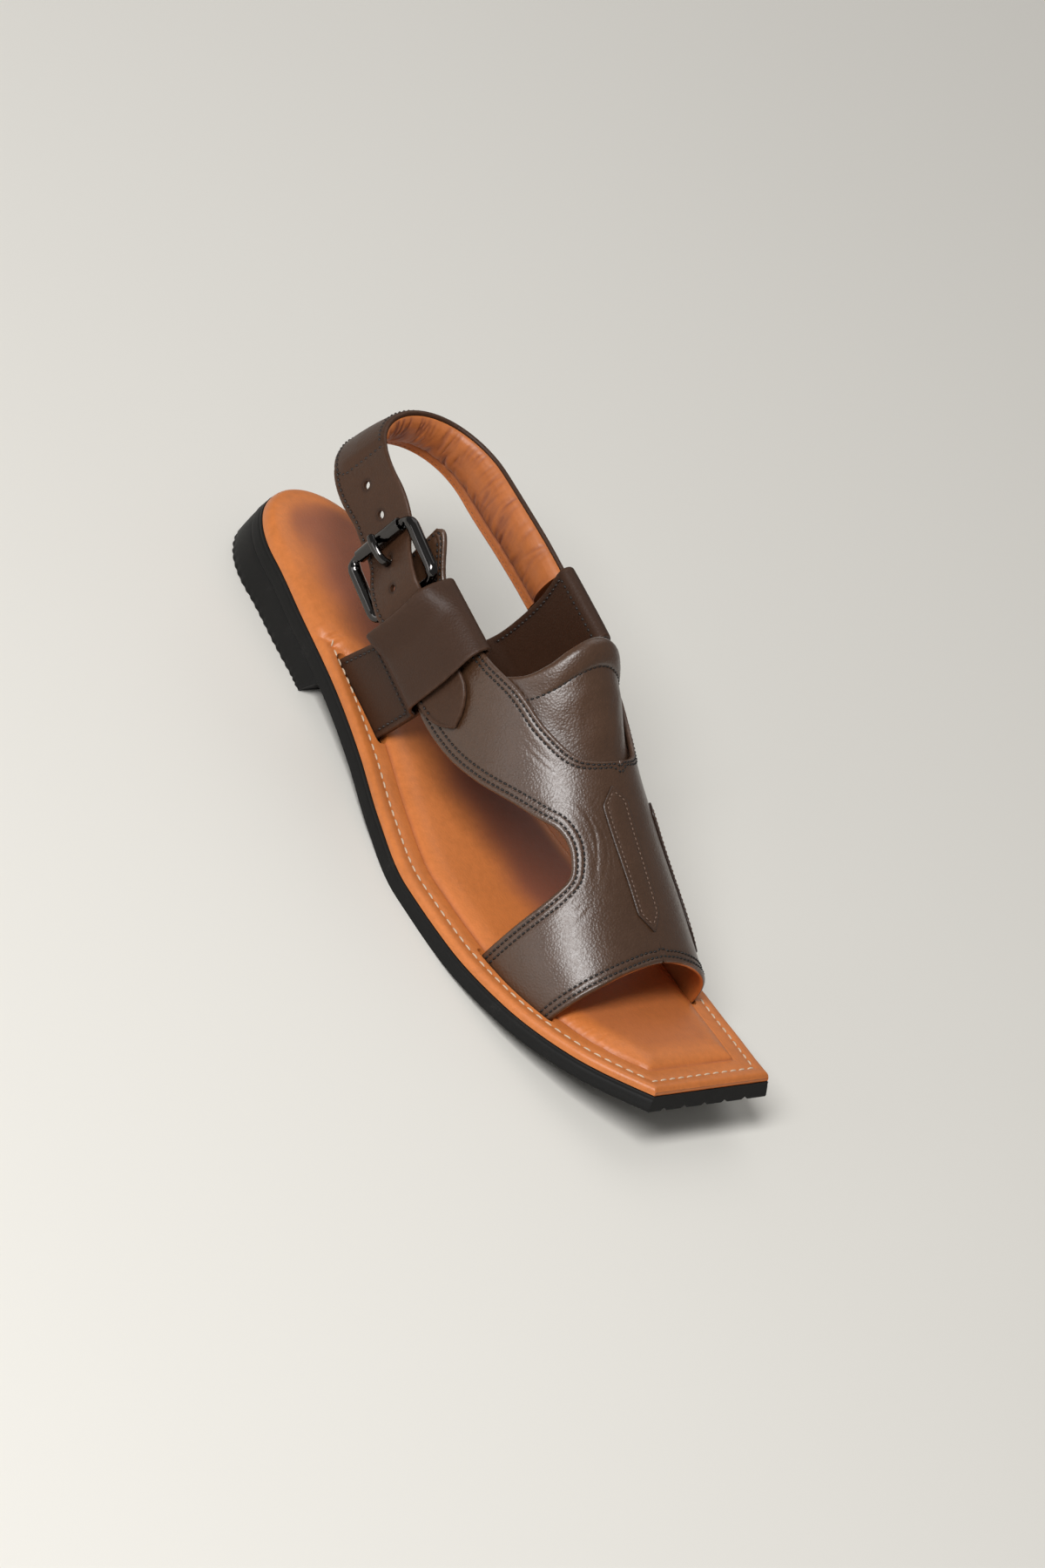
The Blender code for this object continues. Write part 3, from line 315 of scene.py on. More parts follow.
# %% Curves and places
def cubic(x, xs, ys, slopes):
    """Cubic curve through points with a slope given at each, held beyond both ends."""
    x = np.clip(np.asarray(x, float), xs[0], xs[-1])
    i = np.clip(np.searchsorted(xs, x, side="right") - 1, 0, len(xs) - 2)
    step = xs[i + 1] - xs[i]
    t = (x - xs[i]) / step
    middle = ys[i] * (1 + 2 * t) * (1 - t) ** 2 + ys[i + 1] * t * t * (3 - 2 * t)
    return middle + step * (slopes[i] * t * (1 - t) ** 2 - slopes[i + 1] * t * t * (1 - t))


def smooth(x, xs, ys):
    """Cubic curve through points that never overshoots them."""
    slope = np.diff(ys) / np.diff(xs)
    product = slope[1:] * slope[:-1]
    mean = 2 * product / np.where(product > 0, slope[1:] + slope[:-1], 1.0)
    return cubic(x, xs, ys, np.concatenate([slope[:1], np.where(product > 0, mean, 0.0), slope[-1:]]))


def flow(x, xs, ys, first=None, last=None):
    """Cubic curve through points whose slope at each is the mean of its neighbours', or given at the ends."""
    xs, ys = np.asarray(xs, float), np.asarray(ys, float)
    slope = np.gradient(ys, xs)
    slope[0] = slope[0] if first is None else first
    slope[-1] = slope[-1] if last is None else last
    return cubic(x, xs, ys, slope)


def ease(x, low, high):
    """Smooth step from 0 at low to 1 at high."""
    t = np.clip((np.asarray(x, float) - low) / (high - low), 0, 1)
    return t * t * (3 - 2 * t)


def hump(x, middle, reach):
    """Bell curve that is 1 at its middle."""
    return np.exp(-((np.asarray(x, float) - middle) / reach) ** 2)


def blend(first, second, share):
    """Value a share of the way from first to second."""
    return first * (1 - share) + second * share


def read(table, column, station):
    """A column of a table read smoothly at any station."""
    return smooth(station, table[:, 0], table[:, column])


def crowded(count, power):
    """Places from -1 to 1, closer together towards both ends."""
    even = np.linspace(-1, 1, count)[None, :]
    return np.sign(even) * (1 - (1 - np.abs(even)) ** power)


def walked_along(points):
    """Distance walked along a line of points, up to each of them."""
    return np.concatenate([[0], np.cumsum(np.linalg.norm(np.diff(points, axis=0), axis=1))])


def unit(vectors):
    """Vectors of length one."""
    return vectors / np.linalg.norm(vectors, axis=-1, keepdims=True)


GAP, SOLE_LENGTH, SOLE_THICK, BALL_SINK = 0.3, 290.0, 5.8, 0.45
TOE_FLARE, HEEL_FLARE, HEEL_ROUND = 0.9, 2.4, 30.0
# Station and pitch of the sole's top line in degrees
SPINE = np.array([(0, -2.8), (40, -2.8), (75, -4.2), (110, -7.4), (145, -5.2), (165, -2.0), (185, 1.0),
                  (205, 4.5), (246, 11.5), (290, 20.5)])
# Station, outer half width and inner half width of the sole
OUTLINE = np.array([(0, 23.0, 25.5), (29, 24.0, 26.5), (58, 28.0, 29.0), (87, 31.5, 31.5), (116, 36.5, 35.0),
                    (145, 44.0, 39.0), (174, 49.5, 43.0), (203, 49.5, 45.5), (232, 46.5, 45.5),
                    (261, 38.5, 41.0), (290, 24.0, 32.5)])
STATION_STEP, BEYOND = 0.5, 12.0
STATIONS = np.arange(-BEYOND, SOLE_LENGTH + BEYOND + STATION_STEP, STATION_STEP)
PITCH = np.radians(read(SPINE, 1, STATIONS))
MEAN_PITCH = (PITCH[1:] + PITCH[:-1]) / 2
RUN = np.concatenate([[0], np.cumsum(np.cos(MEAN_PITCH) * STATION_STEP)])
RISE = np.concatenate([[0], np.cumsum(np.sin(MEAN_PITCH) * STATION_STEP)])
RISE = RISE - (RISE - SOLE_THICK * np.cos(PITCH)).min() - BALL_SINK
BACK_X = np.interp(0, STATIONS, RUN) - HEEL_FLARE
FRONT_X = np.interp(SOLE_LENGTH, STATIONS, RUN) + SOLE_THICK * math.sin(math.radians(SPINE[-1, 1]))
MIDDLE_X = (BACK_X + FRONT_X) / 2
MIDDLE_Y = (OUTLINE[:, 2].max() - OUTLINE[:, 1].max()) / 2


def place(station, side, height):
    """Model point in millimetres: along the sole, across it, and up square to it."""
    station, side, height = np.broadcast_arrays(station, side, height)
    pitch = np.interp(station, STATIONS, PITCH)
    x = np.interp(station, STATIONS, RUN) - height * np.sin(pitch) - MIDDLE_X
    z = np.interp(station, STATIONS, RISE) + height * np.cos(pitch)
    return np.stack([x, side - MIDDLE_Y, z], axis=-1)


def outline_spot(travel, sign):
    """Outline point: travel 0 is the heel's back, 1 the end of its round, 2 the toe corner."""
    angle = np.clip(travel, 0, 1) * math.pi / 2
    station = HEEL_ROUND * (1 - np.cos(angle)) + np.clip(travel - 1, 0, 1) * (SOLE_LENGTH - HEEL_ROUND)
    return station, read(OUTLINE, 1 if sign < 0 else 2, station) * np.sin(angle)


def sole_edge(travel, sign, grow):
    """Outline point moved outwards by grow along the outline's normal, as station and side."""
    station, wide = outline_spot(travel, sign)
    (s0, w0), (s1, w1) = outline_spot(travel - 0.002, sign), outline_spot(travel + 0.002, sign)
    size = np.hypot(s1 - s0, w1 - w0)
    return station - grow * (w1 - w0) / size, sign * (wide + grow * (s1 - s0) / size)


print("sole in mm:", SOLE_LENGTH, "toe lift", round(float(place(SOLE_LENGTH, 0, -SOLE_THICK)[2]), 1))

# %% [markdown]
# ## From arrays to pieces
# Every piece below is a grid of points worked out as whole arrays. `add_piece` turns grids into one mesh,
# merges points that meet, turns faces outwards, and registers the piece with the frame. `skin` gives a
# sheet of leather its thickness as two sheets that meet in a round edge, which looks more like cut leather
# than a square rim.


# %% Mesh helpers
# Points nearer than the first are merged, and edges shorter than the second removed, both in metres
MERGE_REACH, EMPTY_SIZE = 2e-6, 1e-7
# Angles in degrees from which an edge stays sharp, in general, on rubber and on leather
SHARP, RUBBER_SHARP, LEATHER_SHARP = 40.0, 50.0, 60.0


def cells_of(rows, columns, first=0):
    """Corner numbers of each cell of a grid of points."""
    corner = (np.arange(rows - 1)[:, None] * columns + np.arange(columns - 1)).ravel() + first
    return np.stack([corner, corner + 1, corner + columns + 1, corner + columns], axis=-1)


def end_caps(rings):
    """Corner numbers of the faces that close both ends of a tube of rings."""
    columns = rings.shape[1]
    return [np.arange(columns - 1), (len(rings) - 1) * columns + np.arange(columns - 1)]


def turn_outwards(mesh, merge=False):
    """Turns the faces of a mesh outwards; merge first joins points that meet and drops empty faces."""
    work = bmesh.new()
    work.from_mesh(mesh)
    if merge:
        bmesh.ops.remove_doubles(work, verts=work.verts, dist=MERGE_REACH)
        bmesh.ops.dissolve_degenerate(work, edges=work.edges, dist=EMPTY_SIZE)
    bmesh.ops.recalc_face_normals(work, faces=work.faces)
    work.to_mesh(mesh)
    work.free()


def new_mesh(name, points, faces):
    """Mesh of points given in millimetres."""
    mesh = bpy.data.meshes.new(name)
    mesh.from_pydata((points * MM).tolist(), [], faces)
    return mesh


def add_piece(name, grids, finishes, values=None, nodes=(), grid_finish=None, caps=(),
              sharp=SHARP):
    """One object from grids of points in mm, with point values, merged seams and faces turned outwards."""
    counts = np.cumsum([0] + [grid.shape[0] * grid.shape[1] for grid in grids])
    blocks = [cells_of(*grid.shape[:2], first) for grid, first in zip(grids, counts)]
    faces = np.concatenate(blocks).tolist() + [list(cap) for cap in caps]
    mesh = new_mesh(name, np.concatenate([grid.reshape(-1, 3) for grid in grids]), faces)
    finish_of = np.repeat(grid_finish or [0] * len(grids), [len(block) for block in blocks])
    finish_of = np.concatenate([finish_of, np.zeros(len(caps))]).astype(np.int32)
    mesh.polygons.foreach_set("material_index", finish_of)
    for key, value in (values or {}).items():
        layer = mesh.attributes.new(key, "FLOAT", "POINT")
        layer.data.foreach_set("value", np.concatenate([v.ravel() for v in value]).astype(np.float32))
    turn_outwards(mesh, merge=True)
    mesh.shade_smooth()
    mesh.set_sharp_from_angle(angle=math.radians(sharp))
    made = add_object(name, mesh)
    for finish in finishes:
        mesh.materials.append(finish)
    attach(made, "root")
    if nodes:
        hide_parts(*nodes)
    print(name, "faces:", len(mesh.polygons))
    return made


def skin(middle, normal, half_thick, far):
    """Outer and inner sheet off a middle one, which meet in a half round; far is the distance to the edge."""
    half = half_thick * np.sqrt(1 - (1 - np.clip(far / half_thick, 0, 1)) ** 2)
    return middle + normal * half[..., None], middle - normal * half[..., None]


def carve(made, cutters, solver="EXACT"):
    """Subtracts closed cutter grids from a piece and keeps the result as its mesh."""
    faces, first = [], 0
    for grid in cutters:
        rows, columns = grid.shape[:2]
        faces += cells_of(rows, columns, first).tolist()
        wrap = np.arange(rows - 1) * columns + first
        faces += np.stack([wrap + columns - 1, wrap, wrap + columns, wrap + 2 * columns - 1], -1).tolist()
        faces += [list(range(start, start + columns)) for start in (first, first + (rows - 1) * columns)]
        first += rows * columns
    mesh = new_mesh("cutter", np.concatenate([grid.reshape(-1, 3) for grid in cutters]), faces)
    turn_outwards(mesh)
    cutter = add_object("cutter", mesh)
    saw = made.modifiers.new("cut", "BOOLEAN")
    saw.operation, saw.solver, saw.object = "DIFFERENCE", solver, cutter
    shown = made.evaluated_get(bpy.context.evaluated_depsgraph_get())
    result = bpy.data.meshes.new_from_object(shown)
    made.modifiers.clear()
    old, made.data = made.data, result
    bpy.data.objects.remove(cutter)
    bpy.data.meshes.remove(old)
    result.shade_smooth()
    result.set_sharp_from_angle(angle=math.radians(SHARP))
    print(made.name, "faces after cutting:", len(result.polygons))


# %% [markdown]
# ## Rubber sole and heel
# The outsole is a moulded sheet with a thin lip, a small step under it, and a square, turned-up toe. A
# Bevel on the CAD solid would round all edges alike. Rings across the sole give each edge its own round,
# and the underside's cross grooves are part of the same surface: each ring inside a groove is raised.

# %% Outsole
GROOVE_FIRST, GROOVE_LAST, GROOVE_PITCH = 152.0, 284.0, 9.4
GROOVE_WIDE, GROOVE_DEEP, GROOVE_SHORT = 2.6, 1.5, 5.0
GROOVE_WALL = (0.95, 1.13)
NOTCH_SIDES, NOTCH_START, NOTCH_DEEP = (-17.0, -7.0, 3.0, 13.0, 23.0), (280.0, 281.5), 1.1
UNDERSIDE = -SOLE_THICK + 1.6
# Height and outward growth down the side of the sole
SOLE_PROFILE = np.array([(0.0, -0.35), (-0.04, -0.12), (-0.2, 0.0), (-0.95, 0.03), (-1.15, 0.0), (-1.3, 0.06),
                         (-1.7, 0.22), (-1.9, 0.30), (-2.6, 0.42), (-4.0, 0.66), (-5.1, 0.88), (-5.5, 0.82),
                         (-5.72, 0.62), (-5.8, 0.3)])
grooves = np.arange(GROOVE_FIRST, GROOVE_LAST, GROOVE_PITCH)
groove_rows = (grooves[:, None] + GROOVE_WIDE / 2 * np.array([-1.12, -0.96, -0.5, 0.5, 0.96, 1.12])).ravel()
straight = np.sort(np.concatenate([np.arange(HEEL_ROUND + 2, SOLE_LENGTH - 8, 2.5), groove_rows,
                                   SOLE_LENGTH - np.array([6.5, 5, 3.5, 2, 1, 0.5, 0.2, 0])]))
travel = np.concatenate([np.linspace(0.012, 1, 46), 1 + (straight - HEEL_ROUND) / (SOLE_LENGTH - HEEL_ROUND)])


def sole_surface(travel):
    """Rings across the sole: down the outer side, along the underside, up the inner side, over the top."""
    across = np.linspace(0, 1, 41)[None, 1:-1]
    sides = {sign: sole_edge(travel[:, None], sign, SOLE_PROFILE[None, :, 1]) for sign in (-1, 1)}
    high = np.broadcast_to(SOLE_PROFILE[:, 0], sides[1][0].shape)
    lateral = (*sides[-1], high)
    medial = tuple(part[:, ::-1] for part in (*sides[1], high))
    under = tuple(blend(a[:, -1:], b[:, :1], across) for a, b in zip(lateral, medial))
    over = tuple(blend(a[:, -1:], b[:, :1], across) for a, b in zip(medial, lateral))
    return tuple(np.concatenate(parts, axis=1) for parts in zip(lateral, under, medial, over))


station, side, height = sole_surface(travel)
rise = np.interp(station, STATIONS, RISE) / np.cos(np.interp(station, STATIONS, PITCH))
floor = np.maximum(-rise, -SOLE_THICK)
middle = outline_spot(travel, -1)[0][:, None]
apart = np.abs(middle - grooves[np.abs(middle[:, :1] - grooves).argmin(-1)][:, None])
inside = np.minimum(side + read(OUTLINE, 1, station), read(OUTLINE, 2, station) - side)
groove = 1 - ease(apart, *(GROOVE_WIDE / 2 * wall for wall in GROOVE_WALL))
groove = groove * ease(inside, GROOVE_SHORT - 1, GROOVE_SHORT)
notch = sum(1 - ease(np.abs(side - spot), 0.7, 1.3) for spot in NOTCH_SIDES) * ease(middle, *NOTCH_START)
under = height < UNDERSIDE
height = height + np.where(under, np.maximum(groove * GROOVE_DEEP, notch * NOTCH_DEEP), 0.0)
points = place(station, side, np.maximum(height, floor + np.where(under, groove * GROOVE_DEEP, 0.0)))
points[..., 2] = np.maximum(points[..., 2], 0.0)
points = np.concatenate([points, points[:, :1]], axis=1)
add_piece("rubber_sole", [points], [RUBBER], nodes=["outsole"], caps=end_caps(points),
          sharp=RUBBER_SHARP)

# %% [markdown]
# The heel block is moulded with the sole's outline, widens to the floor, and ends in a slanted breast. Its
# lowest edge has fine ribs all round. The ribs are a cosine of the distance walked round the edge, so that
# they stay even round the curve.

# %% Heel block
BREAST_STATION, BREAST_SLANT, BREAST_BLEND = 82.0, 4.0, 14.0
RIB_PITCH, RIB_DEEP = 4.1, 0.75


def heel_wall():
    """Walls of the heel: round the outline from breast to breast, and down from the sole to the floor."""
    half = np.concatenate([1 + np.linspace(BREAST_STATION - HEEL_ROUND, 0, 70) / (SOLE_LENGTH - HEEL_ROUND),
                           np.linspace(1, 0, 60)[1:]])
    round_trip = np.concatenate([half, half[-2::-1]])[:, None]
    sign = np.concatenate([-np.ones(len(half)), np.ones(len(half) - 1)])[:, None]
    down = np.array([[0, 0.02, 0.05, 0.2, 0.35, 0.5, 0.6, 0.7, 0.8, 0.84, 0.88, 0.92, 0.96, 0.985, 1.0]])
    grow = TOE_FLARE - 0.2 + (HEEL_FLARE - TOE_FLARE + 0.2) * down ** 0.8
    grow = grow - 0.35 * ease(down, 0.96, 1.0) - 0.1 * (1 - ease(down, 0, 0.05))
    edge = [sole_edge(round_trip, s, grow) for s in (-1, 1)]
    station = np.where(sign < 0, edge[0][0], edge[1][0])
    side = np.where(sign < 0, edge[0][1], edge[1][1])
    walked = np.cumsum(np.hypot(np.gradient(station[:, -1]), np.gradient(side[:, -1])))[:, None]
    rib = RIB_DEEP * (0.5 - 0.5 * np.cos(2 * math.pi * walked / RIB_PITCH)) * ease(down, 0.76, 0.9)
    pull = 1 - rib / np.hypot(side, 30.0)
    top = place(station, side, -SOLE_THICK + 0.25)
    lean = BREAST_SLANT * ease(station, BREAST_STATION - BREAST_BLEND, BREAST_STATION) * down
    x = top[..., 0] - lean + rib * (station < 12) * 0.6
    return np.stack([x, top[..., 1] * pull, top[..., 2] * (1 - down)], axis=-1)


points = heel_wall()
points = np.concatenate([points, points[:1]], axis=0)
columns = points.shape[1]
caps = [np.arange(len(points) - 1) * columns, np.arange(len(points) - 1) * columns + columns - 1]
add_piece("rubber_heel", [points], [RUBBER], nodes=["heel_block"], caps=caps,
          sharp=RUBBER_SHARP)

# %% [markdown]
# ## Footbed
# The footbed is tan leather over foam: a flat rim sewn with cream thread from the arch round the toe, then
# a crease and a raised, crowned pad. At the heel the pad runs out to a rounded edge. The height of its top
# is a function of the distance to the outline, so rim, groove, crease and pad follow the outline by
# themselves. Small puckers sit where the seam starts, and fine wrinkles where the pad's edge bends over the
# toes.

# %% Footbed heights
INSOLE_INSET, INSOLE_EDGE, EDGE_ROUND = 0.4, 3.2, 1.7
RIM_WIDE, RIM_START = 11.0, (64.0, 82.0)
PAD_STEP, PAD_STEP_WIDE, PAD_CROWN, PAD_CROWN_REACH = 2.5, 7.5, 1.5, 14.0
RIM_SEAM = 4.7
WRINKLES_START, WRINKLES_END, PUCKER_STATION, PUCKER_PITCH = (222, 234), (262, 272), 71.0, 3.1
fine = np.linspace(0, 2, 1600)
LOOP_OUT, LOOP_IN = np.stack(outline_spot(fine, -1), -1), np.stack(outline_spot(fine, 1), -1)
TOE_LINE = np.stack([np.full(140, SOLE_LENGTH), np.linspace(-OUTLINE[-1, 1], OUTLINE[-1, 2], 140)], -1)
OUTLINE_LOOP = np.concatenate([LOOP_OUT * (1, -1), TOE_LINE, LOOP_IN])


def inside_of(station, side):
    """Distance from a place on the sole to the footbed's edge."""
    spots = np.stack([station.ravel(), side.ravel()], -1)
    parts = np.array_split(spots, max(1, len(spots) // 1500))
    near = [np.sqrt(((part[:, None, :] - OUTLINE_LOOP) ** 2).sum(-1).min(-1)) for part in parts]
    return np.concatenate(near).reshape(station.shape) - INSOLE_INSET


def ripple(along, seed, lengths):
    """Uneven waves: a sum of sines of different lengths and starts."""
    starts = np.random.default_rng(seed).uniform(0, 2 * math.pi, len(lengths))
    waves = (np.sin(2 * math.pi * along / size + start) for size, start in zip(lengths, starts))
    return sum(waves) / len(lengths)


def footbed(station, side):
    """Height of the footbed's top, with the distances to its edge and of its rim."""
    inside = np.maximum(inside_of(station, side), 0)
    rimmed = ease(station, *RIM_START)
    rim = RIM_WIDE * rimmed
    climb = 1 - (1 - np.clip((inside - rim) / PAD_STEP_WIDE, 0, 1)) ** 2
    step = climb ** 0.75 * PAD_STEP
    crown = PAD_CROWN * (1 - np.exp(-np.maximum(inside - rim, 0) / PAD_CROWN_REACH))
    bend = EDGE_ROUND + 0.9 * (1 - rimmed)
    drop = bend - np.sqrt(np.maximum(bend ** 2 - np.maximum(bend - inside, 0) ** 2, 0))
    seam = 0.34 * hump(inside, RIM_SEAM, 0.75) - 0.16 * hump(inside, 2.4, 1.6) - 0.14 * hump(inside, 7.6, 1.8)
    seam = rimmed * seam
    crease = rimmed * 0.36 * hump(inside, rim, 0.5)
    slope = hump(inside, rim + 3.4, 2.6) * rimmed
    toe_wrinkle = slope * ease(station, *WRINKLES_START) * (1 - ease(station, *WRINKLES_END)) * (side < 0)
    warp = station + 0.25 * inside + 1.2 * ripple(inside, 3, (5.3, 8.1))
    wrinkle = 0.30 * toe_wrinkle * ripple(warp, 5, (1.45, 2.05, 2.9, 4.4))
    wrinkle = wrinkle + 0.05 * slope * ripple(warp, 8, (2.2, 3.7, 5.9)) * ease(station, 100, 130)
    pucker = 0.42 * hump(inside, 5.2, 2.6) * hump(station, PUCKER_STATION, 3.6)
    pucker = pucker * np.cos(2 * math.pi * (station - PUCKER_STATION) / PUCKER_PITCH)
    return INSOLE_EDGE + step + crown - drop - seam - crease + wrinkle + pucker, inside, rim


# %% Footbed surface
insets = np.concatenate([
    EDGE_ROUND * (1 - np.cos(np.radians([0, 15, 30, 45, 60, 75, 90]))),
    [2.3, 3.0, 3.6, 4.1, 4.5, 4.9, 5.3, 5.9, 6.7, 7.6, 8.6, 9.5, 10.1, 10.5, 10.8, 11.0, 11.2, 11.6, 12.1,
     12.7, 13.4, 14.2, 15.0, 15.9, 17.0, 18.4]])
straight = np.concatenate([
    np.arange(HEEL_ROUND + 1, 60, 1.5), np.arange(60, 84, 0.6), np.arange(84, 222, 1.4),
    np.arange(222, 268, 0.5), SOLE_LENGTH - insets[insets > 0][::-1] * 0.98, [SOLE_LENGTH]])
straight = np.unique(np.round(straight, 3))
travel = np.concatenate([np.linspace(0.012, 1, 54), 1 + (straight - HEEL_ROUND) / (SOLE_LENGTH - HEEL_ROUND)])
ends = [sole_edge(travel, sign, -INSOLE_INSET) for sign in (-1, 1)]
half = (ends[1][1] - ends[0][1]) / 2
squeeze = np.minimum(1, 0.8 * half / insets[-1])[:, None]
core = np.linspace(0, 1, 26)[None, 1:-1]
left, right = ends[0][1][:, None] + insets * squeeze, ends[1][1][:, None] - insets[::-1] * squeeze
side = np.concatenate([left, blend(left[:, -1:], right[:, :1], core), right], axis=1)
share = (side - side[:, :1]) / (side[:, -1:] - side[:, :1])
station = blend(ends[0][0][:, None], ends[1][0][:, None], share)
station[-1] = SOLE_LENGTH - INSOLE_INSET
top, inside, rim = footbed(station, side)
base = [place(station[:, [k]], side[:, [k]], GAP) for k in (-1, 0)]
points = np.concatenate([place(station, side, top)] + base, axis=1)
points = np.concatenate([points, points[:, :1]], axis=1)
# Burnish, which the worn footbed has: dark from the heel seat through the arch, fading towards the forefoot
# and edges, most on the inner side.
strong = 0.80 * ease(station, 2, 20) + 0.20 * ease(station, 55, 105) - 0.78 * ease(station, 200, 238)
reach = side + 8 * (1 - ease(station, 60, 110)) + 3 * ripple(station, 12, (23.0, 41.0, 67.0))
footbed_burnish_and_shade = strong * ease(reach, -20, 6) * (1 - ease(station, 255, 280))
# Painted shade on top: the toe is darkened where less light falls, and a dark line follows the crease at the
# rim.
footbed_burnish_and_shade = np.maximum(footbed_burnish_and_shade, 0.35 * ease(station, 205, 235)) * ease(inside, rim + 2, rim + 11)
footbed_burnish_and_shade = np.maximum(footbed_burnish_and_shade, 0.42 * hump(inside, rim, 0.5) * ease(station, *RIM_START))
footbed_burnish_and_shade = np.concatenate([footbed_burnish_and_shade, np.zeros((len(points), points.shape[1] - footbed_burnish_and_shade.shape[1]))], axis=1)
insole = add_piece("footbed", [points], [TAN], {"shade": [footbed_burnish_and_shade]}, ["insole"],
                   caps=end_caps(points))

# %% [markdown]
# ## The last
# A shoemaker pulls the upper over a last, a solid foot shape. It isn't part of the sandal, but the upper
# takes its shape from it. Here the last is a formula: at each station its section is a rounded arch with
# its own height and width. `turn` goes round the arch from -1 at the outer sole over 0 at the ridge to 1 at
# the inner sole.

# %% Last
# Station, half widths at the sole, ridge place and height, roundness of the arch
LAST = np.array([
    (75, 26.5, 25.5, 0.0, 115, 2.60), (100, 28.0, 27.0, 0.0, 108, 2.50), (120, 29.5, 28.5, 0.5, 101, 2.40),
    (145, 33.0, 31.0, 1.5, 85, 2.20), (178, 37.5, 33.5, 2.0, 67.5, 1.95), (200, 39.5, 36.0, 2.0, 56, 2.00),
    (222, 38.5, 36.5, 2.0, 44, 2.00), (250, 33.5, 32.5, 1.5, 26, 2.10)])
TURN_END, TURN_STEP = 0.997, 0.003


def last_surface(station, turn):
    """Point on the last: side is the reach times sin to 2/power, height the ridge times cos to 2/power."""
    station, turn = np.broadcast_arrays(np.asarray(station, float), np.asarray(turn, float))
    ridge, power = read(LAST, 3, station), read(LAST, 5, station)
    reach = np.where(turn < 0, -read(LAST, 1, station) - ridge, read(LAST, 2, station) - ridge)
    angle = np.minimum(np.abs(turn), 1) * math.pi / 2
    rise = read(LAST, 4, station) * np.cos(angle) ** (2 / power)
    return place(station, ridge + reach * np.sin(angle) ** (2 / power), GAP + rise)


def last_normal(station, turn):
    """Outward direction of the last, from differences along and round it."""
    turn = np.clip(turn, -TURN_END, TURN_END)
    across = last_surface(station, turn + TURN_STEP) - last_surface(station, turn - TURN_STEP)
    forward = last_surface(station + 0.5, turn) - last_surface(station - 0.5, turn)
    return unit(np.cross(forward, across))


def shell(station, turn, offset):
    """Point off the last along its normal, outwards for a positive offset."""
    turn = np.clip(turn, -TURN_END, TURN_END)
    return last_surface(station, turn) + last_normal(station, turn) * np.asarray(offset, float)[..., None]


def wall_side(station, height, sign):
    """Distance of the last's side wall from the middle line at a height."""
    ridge = read(LAST, 3, station) * sign
    reach = read(LAST, 1 if sign < 0 else 2, station) - ridge
    share = np.clip(np.asarray(height, float) / read(LAST, 4, station), 0, 0.98)
    power = read(LAST, 5, station)
    return ridge + reach * (1 - share ** power) ** (1 / power)


def beside(station, height, sign, offset):
    """Point beside the last's wall, offset outwards from it."""
    return place(station, sign * (wall_side(station, height, sign) + offset), height)


print("instep height in mm at the throat:", round(float(last_surface(180.0, 0.0)[2]), 1))

# %% [markdown]
# ## Vamp
# The vamp is one piece of brown leather, lined with tan: a band over the toes, the instep, and two wings
# that run back under the side loops, with an arched cut-out on each side. It could be cut from a sheet with
# Booleans. Here each half is a strip bent round its cut-out, from the sole over the toes and instep to the
# wing's end, so that both edges are grid lines. Then round edges, sewn grooves and creases are functions of
# the distance to an edge.

# %% Vamp strip
VAMP_WALL = 2.0
# Cut-out edge and outer edge of the strip, each as station and turn
VAMP = np.array([
    (209, 1.000, 243.8, 1.000), (212, 0.815, 247.6, 0.750), (214, 0.625, 250.0, 0.480),
    (214, 0.500, 250.4, 0.240), (212.5, 0.420, 249.5, 0.0), (208, 0.385, 226, 0.0), (202, 0.375, 203, 0.0),
    (195, 0.405, 180, 0.0), (186, 0.485, 178, 0.160), (174, 0.575, 172, 0.265), (158, 0.695, 158, 0.370),
    (142, 0.790, 142, 0.460), (124, 0.855, 124, 0.590), (106, 0.860, 106, 0.660), (91, 0.845, 91, 0.672),
    (79, 0.815, 79, 0.620), (74.5, 0.780, 75, 0.640)])
TOE_ROW, THROAT_ROW = 4, 7
# The inner cut-out's apex lies lower: this share of its way to the sole, fading out over these rows
MEDIAL_DROP, MEDIAL_FADE = 0.38, (7, 11)
# Length of a row along the ridge; then the last row of each half and the length of its last step
RIDGE_PER_ROW = 23.3
HALVES = {-1: (16, 4.5), 1: (13, 18.0)}
ROW_STEPS, CORE_COLUMNS = 12, 26
# Distances of the two seams from an edge, and how far a seam's groove reaches
SEAMS, SEAM_REACH = (2.2, 4.5), 0.5
BORDER = np.array([0, 0.08, 0.3, 0.62, 1.0, 1.5, 1.9, 2.2, 2.5, 3.0, 3.6, 4.1, 4.5, 4.9, 5.5, 6.5, 7.5])


def vamp_edges(row, sign):
    """Both edges of the strip at any row; the outer edge crosses the ridge square at toe and throat."""
    index = np.arange(len(VAMP), dtype=float)
    inner = [flow(row, index, VAMP[:, k]) for k in (0, 1)]
    if sign > 0:
        inner[1] = inner[1] + MEDIAL_DROP * (1 - inner[1]) * (1 - ease(row, *MEDIAL_FADE))
    toe, ridge, throat = slice(0, TOE_ROW + 1), slice(TOE_ROW, THROAT_ROW + 1), slice(THROAT_ROW, None)
    outer = []
    for k, flat in ((2, 0.0), (3, None)):
        parts = [flow(row, index[toe], VAMP[toe, k], last=flat), flow(row, index[ridge], VAMP[ridge, k]),
                 flow(row, index[throat], VAMP[throat, k], first=flat)]
        outer.append(np.where(row <= TOE_ROW, parts[0], np.where(row < THROAT_ROW, parts[1], parts[2])))
    return inner, outer


def vamp_spot(row, share, sign):
    """Station and turn at a row, a share of the way from the cut-out edge to the outer edge."""
    inner, outer = vamp_edges(row, sign)
    return tuple(blend(a, b, share) for a, b in zip(inner, outer))


